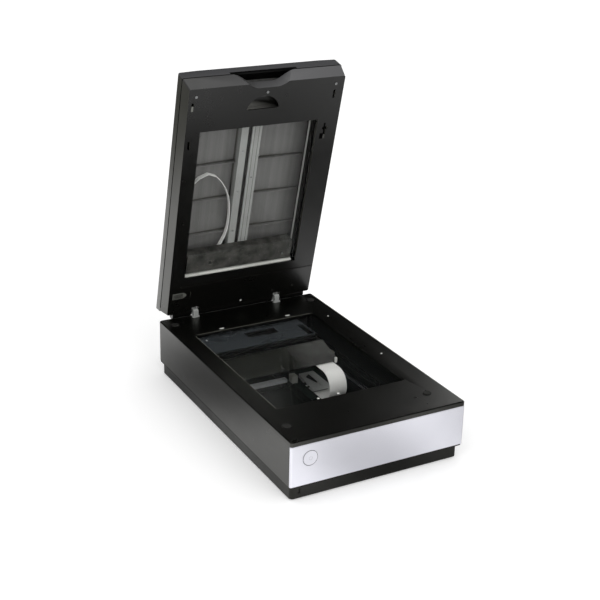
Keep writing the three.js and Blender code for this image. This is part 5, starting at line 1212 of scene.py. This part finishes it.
class SCANNER_OT_lid_marks(bpy.types.Operator):
    """Sets the small clips and marks of the lid's inner face, painted shade in and behind its slots, and its edge
    lines, one a painted highlight
    """

    bl_idname = "scanner.lid_marks"
    bl_label = "Lid marks"

    def execute(self, context):
        place = lid_matrix()
        dark = dark_mark()
        # Near-black and matt: painted shade for the slots, and the colour of the parting lines
        shade = mark_skin("slot_dark", srgb(3, 3, 3), 0.9, 0.05)
        clip = mark_skin("lid_clip", srgb(112, 113, 108), 0.45)
        lobe = mark_skin("slot_lobe", srgb(60, 60, 57), 0.45)
        # Painted highlight beside the window's side rail
        rim = mark_skin("window_rim", srgb(170, 172, 168), 0.4)
        sunk = mark_skin("lid_sink_mark", srgb(74, 75, 71))
        dots = [in_lid(*dot) for dot in LID_DOTS]
        discs("lid_dots", dots, LID_DOT_RADIUS, LID_DOT_HEIGHT, pale_mark(), "lid", place)
        dots = [in_lid(*dot) for dot in LID_SINK_MARKS]
        discs("lid_sink_marks", dots, SINK_MARK_RADIUS, LID_DOT_HEIGHT, sunk, "lid", place)
        starts = [GROOVE_START + GROOVE_PITCH * k for k in range(GROOVES)]
        grooves = [(start, start + GROOVE_WIDTH, *GROOVE_RUN) for start in starts]
        lid_blocks("lock_slider_grooves", grooves, dark, "lid_lock")
        lid_blocks("lid_slot_clip", [SLOT_CLIP], clip, edge=CLIP_EDGE)
        # Painted shade in and behind the slots
        lid_blocks("lid_slot_shades", SLOT_SHADES, shade)
        lid_blocks("lid_parting_line", PARTING_LINES, shade)
        lid_blocks("lid_slot_lobe", [SLOT_LOBE], lobe)
        lid_blocks("window_side_rail", [WINDOW_RAIL], dark)
        lid_blocks("window_side_line", [WINDOW_LINE], rim)
        return {"FINISHED"}


# Behind the window: the lamp block's screws across, along and up, and the rows of screws on the two rails
LAMP_SCREWS = ((-65.3, 94.3, 8.9), (78.8, 89.2, 8.9))
LAMP_SCREW_RADIUS = 2.2 * MM
ROW_START, ROW_END = 60.0, 380.0
LEFT_ROW, RIGHT_ROW = -17.5, 5.3
RAIL_FACE = 29.9
RAIL_SCREW_RADIUS, RAIL_SCREW_HEIGHT = 1.5 * MM, 0.7 * MM

# Blocks on the rails, given as the lid's other blocks are
RAIL_GROOVES = ((1.0, 1.5, 44.0, 396.0, 29.85, 30.0), (9.0, 9.5, 44.0, 396.0, 29.85, 30.0))
BELT_TROUGH = (-10.9, -3.5, 44.0, 396.0, 39.3, 39.8)


class SCANNER_OT_window_works(bpy.types.Operator):
    """Sets screws and lines on the rails and the lamp block behind the lid's window"""

    bl_idname = "scanner.window_works"
    bl_label = "Window works"

    def execute(self, context):
        lamp = [on_lid(*screw) for screw in LAMP_SCREWS]
        screws("lamp_block_screws", lamp, "film_carriage", zinc(), LID_TURN_BACK, LAMP_SCREW_RADIUS)
        count = sizes().rail_screws
        step = (ROW_END - ROW_START) / (count - 1)
        rows = []
        for k in range(count):
            along = ROW_START + step * k
            rows += [on_lid(LEFT_ROW, along, RAIL_FACE), on_lid(RIGHT_ROW, along + step / 3, RAIL_FACE)]
        screws("lid_rail_screws", rows, "lid", zinc(), LID_TURN_BACK, RAIL_SCREW_RADIUS, RAIL_SCREW_HEIGHT)
        lid_blocks("lid_rail_grooves", RAIL_GROOVES, dark_mark())
        lid_blocks("lid_belt_trough", [BELT_TROUGH], dark_mark())
        return {"FINISHED"}


# Under the bed's glass: across and along from the middle of the base
SHIELD_SCREWS = ((37.9, 43.0), (33.4, 58.3))
SHIELD_SCREW_LIFT = 0.4
SHIELD_SCREW_RADIUS = 2.1 * MM
SHIELD_LINE, SHIELD_LINE_DROPS = ((35.6, 21.9), (64.5, 23.4)), (0.6, 0.1)

# On the carriage: across, along and up
PLATE_DOT = (-105.0, 152.8, 87.95)
PLATE_DOT_RADIUS, PLATE_DOT_HEIGHT = 1.5 * MM, 0.2 * MM
ARM_PIN = ((74.4, 16.6, 66.5), (78.2, 19.9, 76.0))
ARM_PIN_EDGE = 0.6 * MM


class SCANNER_OT_carriage_marks(bpy.types.Operator):
    """Sets the screws, clips and pins that show through the glass of the bed"""

    bl_idname = "scanner.carriage_marks"
    bl_label = "Carriage marks"

    def execute(self, context):
        black = moulded("black_screw", srgb(16, 16, 16), 0.35, 900.0, 0.1)
        pale = pale_mark()
        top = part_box("board_shield")[1].z / MM + SHIELD_SCREW_LIFT
        spots = [on_base(x, y, top) for x, y in SHIELD_SCREWS]
        screws("shield_screws", spots, "base", black, UPRIGHT, SHIELD_SCREW_RADIUS)
        line = [tuple(on_base(*corner, top - drop) for corner, drop in zip(SHIELD_LINE, SHIELD_LINE_DROPS))]
        blocks("shield_line", line, black, "base")
        dot = [on_base(*PLATE_DOT)]
        discs("plate_dot", dot, PLATE_DOT_RADIUS, PLATE_DOT_HEIGHT, pale, "scan_carriage")
        pin = [tuple(on_base(*corner) for corner in ARM_PIN)]
        blocks("arm_pin", pin, pale, "scan_carriage", edge=ARM_PIN_EDGE)
        return {"FINISHED"}


# Screws of the underside: across and along from the middle of the base
UNDER_SCREWS = (
    (-146.0, -232.0), (137.0, -232.0), (-146.0, 232.0), (137.0, 232.0), (-60.0, 120.0), (60.0, 120.0)
)
UNDER_SCREW_RADIUS, UNDER_SCREW_HEIGHT = 2.6 * MM, 0.9 * MM
UNDER_SCREW_DROP = 0.3

# Bare plates, from corner to corner: across and up on the back wall, across and along on the underside
BACK_PLATE = ((62.0, 58.0), (122.0, 80.0))
UNDER_PLATE = ((-48.0, -60.0), (36.0, -4.0))
PLATE_SINK = 0.1
PLATE_RISE = 0.15


class SCANNER_OT_back_and_under(bpy.types.Operator):
    """Sets the screws and the bare plates of the back wall and the underside"""

    bl_idname = "scanner.back_and_under"
    bl_label = "Back and underside"

    def execute(self, context):
        plate = moulded("bare_plate", srgb(176, 178, 180), 0.35, 2200.0, 0.05)
        back = HOUSING_HIGH.y / MM - CENTRE_Y / MM
        (left, low), (right, high) = BACK_PLATE
        corners = [(on_base(left, back - PLATE_SINK, low), on_base(right, back + PLATE_RISE, high))]
        blocks("back_plate", corners, plate, "base")
        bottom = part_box("bottom_case")[0].z / MM
        (left, front), (right, rear) = UNDER_PLATE
        corners = [(on_base(left, front, bottom - PLATE_RISE), on_base(right, rear, bottom + PLATE_SINK))]
        blocks("under_plate", corners, plate, "base")
        spots = [on_base(x, y, bottom - UNDER_SCREW_DROP) for x, y in UNDER_SCREWS]
        screws("under_screws", spots, "base", zinc(), UPSIDE_DOWN, UNDER_SCREW_RADIUS, UNDER_SCREW_HEIGHT)
        return {"FINISHED"}


# The soft boxes: name, place, width, power, and whether they light matt surfaces in place of gloss
SOFT_BOXES = (
    ("right_card", (2.0, 1.35, 1.0), 1.0, 7.5, False),
    ("front_fill", (0.2, -2.2, 1.4), 1.6, 12.0, True),
    ("overhead_card", (0.1, 0.1, 2.8), 1.8, 8.0, False),
)


class SCANNER_OT_stage(bpy.types.Operator):
    """Lays the floor, the lights and the camera"""

    bl_idname = "scanner.stage"
    bl_label = "Studio"

    def execute(self, context):
        scene = context.scene
        make_floor()
        make_world(scene)
        for box in SOFT_BOXES:
            soft_light(*box)
        make_camera(scene)
        scene.view_settings.view_transform = "Standard"
        return {"FINISHED"}


FLOOR_REACH = 14.0
FLOOR_WHITE = (0.88, 0.88, 0.88, 1.0)
FLOOR_LIFT = 0.22

# The floor shows in gloss within a round pool, less so at three places of painted shadow that only reflections
# show: centre, stretch, what is left.
POOL_CENTRE = (-0.1, 0.2)
POOL_EDGE = (0.8, 1.7)
GLOSS_SHADOW_EDGE = (0.3, 1.2)
GLOSS_SHADOW_PLACES = (
    ((-0.25, 0.17), (0.14, 0.25), 0.2),
    ((0.03, -0.38), (0.14, 0.17), 0.2),
    ((0.38, -0.24), (0.27, 0.36), 0.08),
)


def faded(tree, place, centre, stretch, near, far):
    """0 at a centre on the floor and 1 beyond, with a soft edge between near and far."""
    shift = tree.nodes.new("ShaderNodeMapping")
    shift.vector_type = "TEXTURE"
    shift.inputs["Location"].default_value = (*centre, 0.0)
    shift.inputs["Scale"].default_value = (*stretch, 1.0)
    tree.links.new(place, shift.inputs["Vector"])
    length = tree.nodes.new("ShaderNodeVectorMath")
    length.operation = "LENGTH"
    tree.links.new(shift.outputs[0], length.inputs[0])
    ease = tree.nodes.new("ShaderNodeMapRange")
    ease.interpolation_type = "SMOOTHSTEP"
    ease.inputs["From Min"].default_value = near
    ease.inputs["From Max"].default_value = far
    tree.links.new(length.outputs["Value"], ease.inputs["Value"])
    return ease.outputs[0]


def lifted(tree, value, low):
    """Lifts a value of 0 to 1 so that it starts at low."""
    return math_node(tree, "ADD", product(tree, value, 1.0 - low), low)


def floor_paint():
    """White that fades in gloss by distance, carries painted shadow that only reflections show, and is lifted
    where the camera sees it.
    """
    material, tree, shader = fresh_material("studio_floor")
    if shader is None:
        return material
    shader.inputs["Roughness"].default_value = 0.9
    shader.inputs["Specular IOR Level"].default_value = 0.0
    shader.inputs["Emission Color"].default_value = (1.0, 1.0, 1.0, 1.0)
    place = coordinates(tree)
    pool = math_node(tree, "SUBTRACT", 1.0, faded(tree, place, POOL_CENTRE, (1.0, 1.0), *POOL_EDGE))
    # Painted shadow on the floor, seen only in the machine's reflections
    dark = [
        lifted(tree, faded(tree, place, centre, stretch, *GLOSS_SHADOW_EDGE), left)
        for centre, stretch, left in GLOSS_SHADOW_PLACES
    ]
    path = tree.nodes.new("ShaderNodeLightPath")
    glossy = path.outputs["Is Glossy Ray"]
    shown = product(tree, glossy, product(tree, *dark, pool))
    share = math_node(tree, "ADD", math_node(tree, "SUBTRACT", 1.0, glossy), shown)
    white = mixed(tree, share, (0.0, 0.0, 0.0, 1.0), FLOOR_WHITE)
    tree.links.new(white, shader.inputs["Base Color"])
    seen = math_node(tree, "ADD", path.outputs["Is Camera Ray"], path.outputs["Is Transmission Ray"])
    seen = math_node(tree, "ADD", seen, shown)
    tree.links.new(product(tree, seen, FLOOR_LIFT), shader.inputs["Emission Strength"])
    return material


def make_floor():
    """A wide white floor."""
    mesh = bpy.data.meshes.new("floor")
    corners = [(x * FLOOR_REACH, y * FLOOR_REACH, 0) for x, y in ((-1, -1), (1, -1), (1, 1), (-1, 1))]
    mesh.from_pydata(corners, [], [(0, 1, 2, 3)])
    mesh.materials.append(floor_paint())
    placed("floor", mesh)


def make_world(scene):
    """A white dome that lights matt surfaces and is left out of reflections."""
    world = scene.world or bpy.data.worlds.new("studio")
    scene.world = world
    world.use_nodes = True
    sky = world.node_tree.nodes["Background"]
    sky.inputs["Color"].default_value = (1.0, 1.0, 1.0, 1.0)
    sky.inputs["Strength"].default_value = 1.0
    world.cycles_visibility.glossy = False


def soft_light(name, place, width, power, matt):
    """A square soft box that looks at the machine's middle and shows in gloss only, or lights matt only."""
    lamp = bpy.data.lights.new(name, "AREA")
    lamp.shape = "SQUARE"
    lamp.size = width
    lamp.energy = power
    light = placed(name, lamp)
    light.location = place
    light.visible_diffuse = matt
    light.visible_glossy = not matt
    target = (CAD_BOX[0] + CAD_BOX[1]) / 2
    light.rotation_euler = (target - light.location).to_track_quat("-Z", "Y").to_euler()


# The photograph's viewpoint, from the middle of the base on the floor
EYE = (-0.9097, -1.6291, 0.9657)
EYE_TURN, EYE_TILT, EYE_ROLL = (math.radians(angle) for angle in (28.96, 20.86, 1.35))
SENSOR_WIDTH, FOCAL_LENGTH = 36.0, 73.88
LENS_SHIFT = -0.05


def make_camera(scene):
    """The camera at the photograph's viewpoint."""
    lens = bpy.data.cameras.new("camera")
    lens.sensor_width = SENSOR_WIDTH
    lens.lens = FOCAL_LENGTH
    lens.shift_y = LENS_SHIFT
    lens.clip_end = 60.0
    camera = placed("camera", lens)
    level = math.cos(EYE_TILT)
    look = Vector((math.sin(EYE_TURN) * level, math.cos(EYE_TURN) * level, -math.sin(EYE_TILT)))
    right = Vector((math.cos(EYE_TURN), -math.sin(EYE_TURN), 0.0))
    up = right.cross(look)
    side = right * math.cos(EYE_ROLL) + up * math.sin(EYE_ROLL)
    head = up * math.cos(EYE_ROLL) - right * math.sin(EYE_ROLL)
    basis = Matrix((side, head, -look)).transposed()
    camera.matrix_world = Matrix.Translation((EYE[0], CENTRE_Y + EYE[1], EYE[2])) @ basis.to_4x4()
    scene.camera = camera


STEPS = (
    SCANNER_OT_paint_nodes,
    SCANNER_OT_shells,
    SCANNER_OT_small_rounds,
    SCANNER_OT_lid_screws,
    SCANNER_OT_bed_marks,
    SCANNER_OT_button_marks,
    SCANNER_OT_lid_marks,
    SCANNER_OT_window_works,
    SCANNER_OT_carriage_marks,
    SCANNER_OT_back_and_under,
    SCANNER_OT_stage,
)


class SCANNER_PT_panel(bpy.types.Panel):
    """Lists the sizes, the colours and the steps"""

    bl_idname = "SCANNER_PT_panel"
    bl_label = "Flatbed scanner"
    bl_space_type = "VIEW_3D"
    bl_region_type = "UI"
    bl_category = "Scanner"

    def draw(self, context):
        column = self.layout.column()
        for group in (context.scene.scanner_sizes, context.scene.scanner_colours):
            for name in group.__annotations__:
                column.prop(group, name)
        for step in STEPS:
            column.operator(step.bl_idname)


CLASSES = (ScannerSizes, ScannerColours, *STEPS, SCANNER_PT_panel)


def register():
    for cls in CLASSES:
        bpy.utils.register_class(cls)
    bpy.types.Scene.scanner_sizes = bpy.props.PointerProperty(type=ScannerSizes)
    bpy.types.Scene.scanner_colours = bpy.props.PointerProperty(type=ScannerColours)


def unregister():
    del bpy.types.Scene.scanner_colours
    del bpy.types.Scene.scanner_sizes
    for cls in reversed(CLASSES):
        bpy.utils.unregister_class(cls)


def main():
    """Runs every step."""
    register()
    for step in STEPS:
        group, name = step.bl_idname.split(".")
        getattr(getattr(bpy.ops, group), name)()


if __name__ == "__main__":
    main()
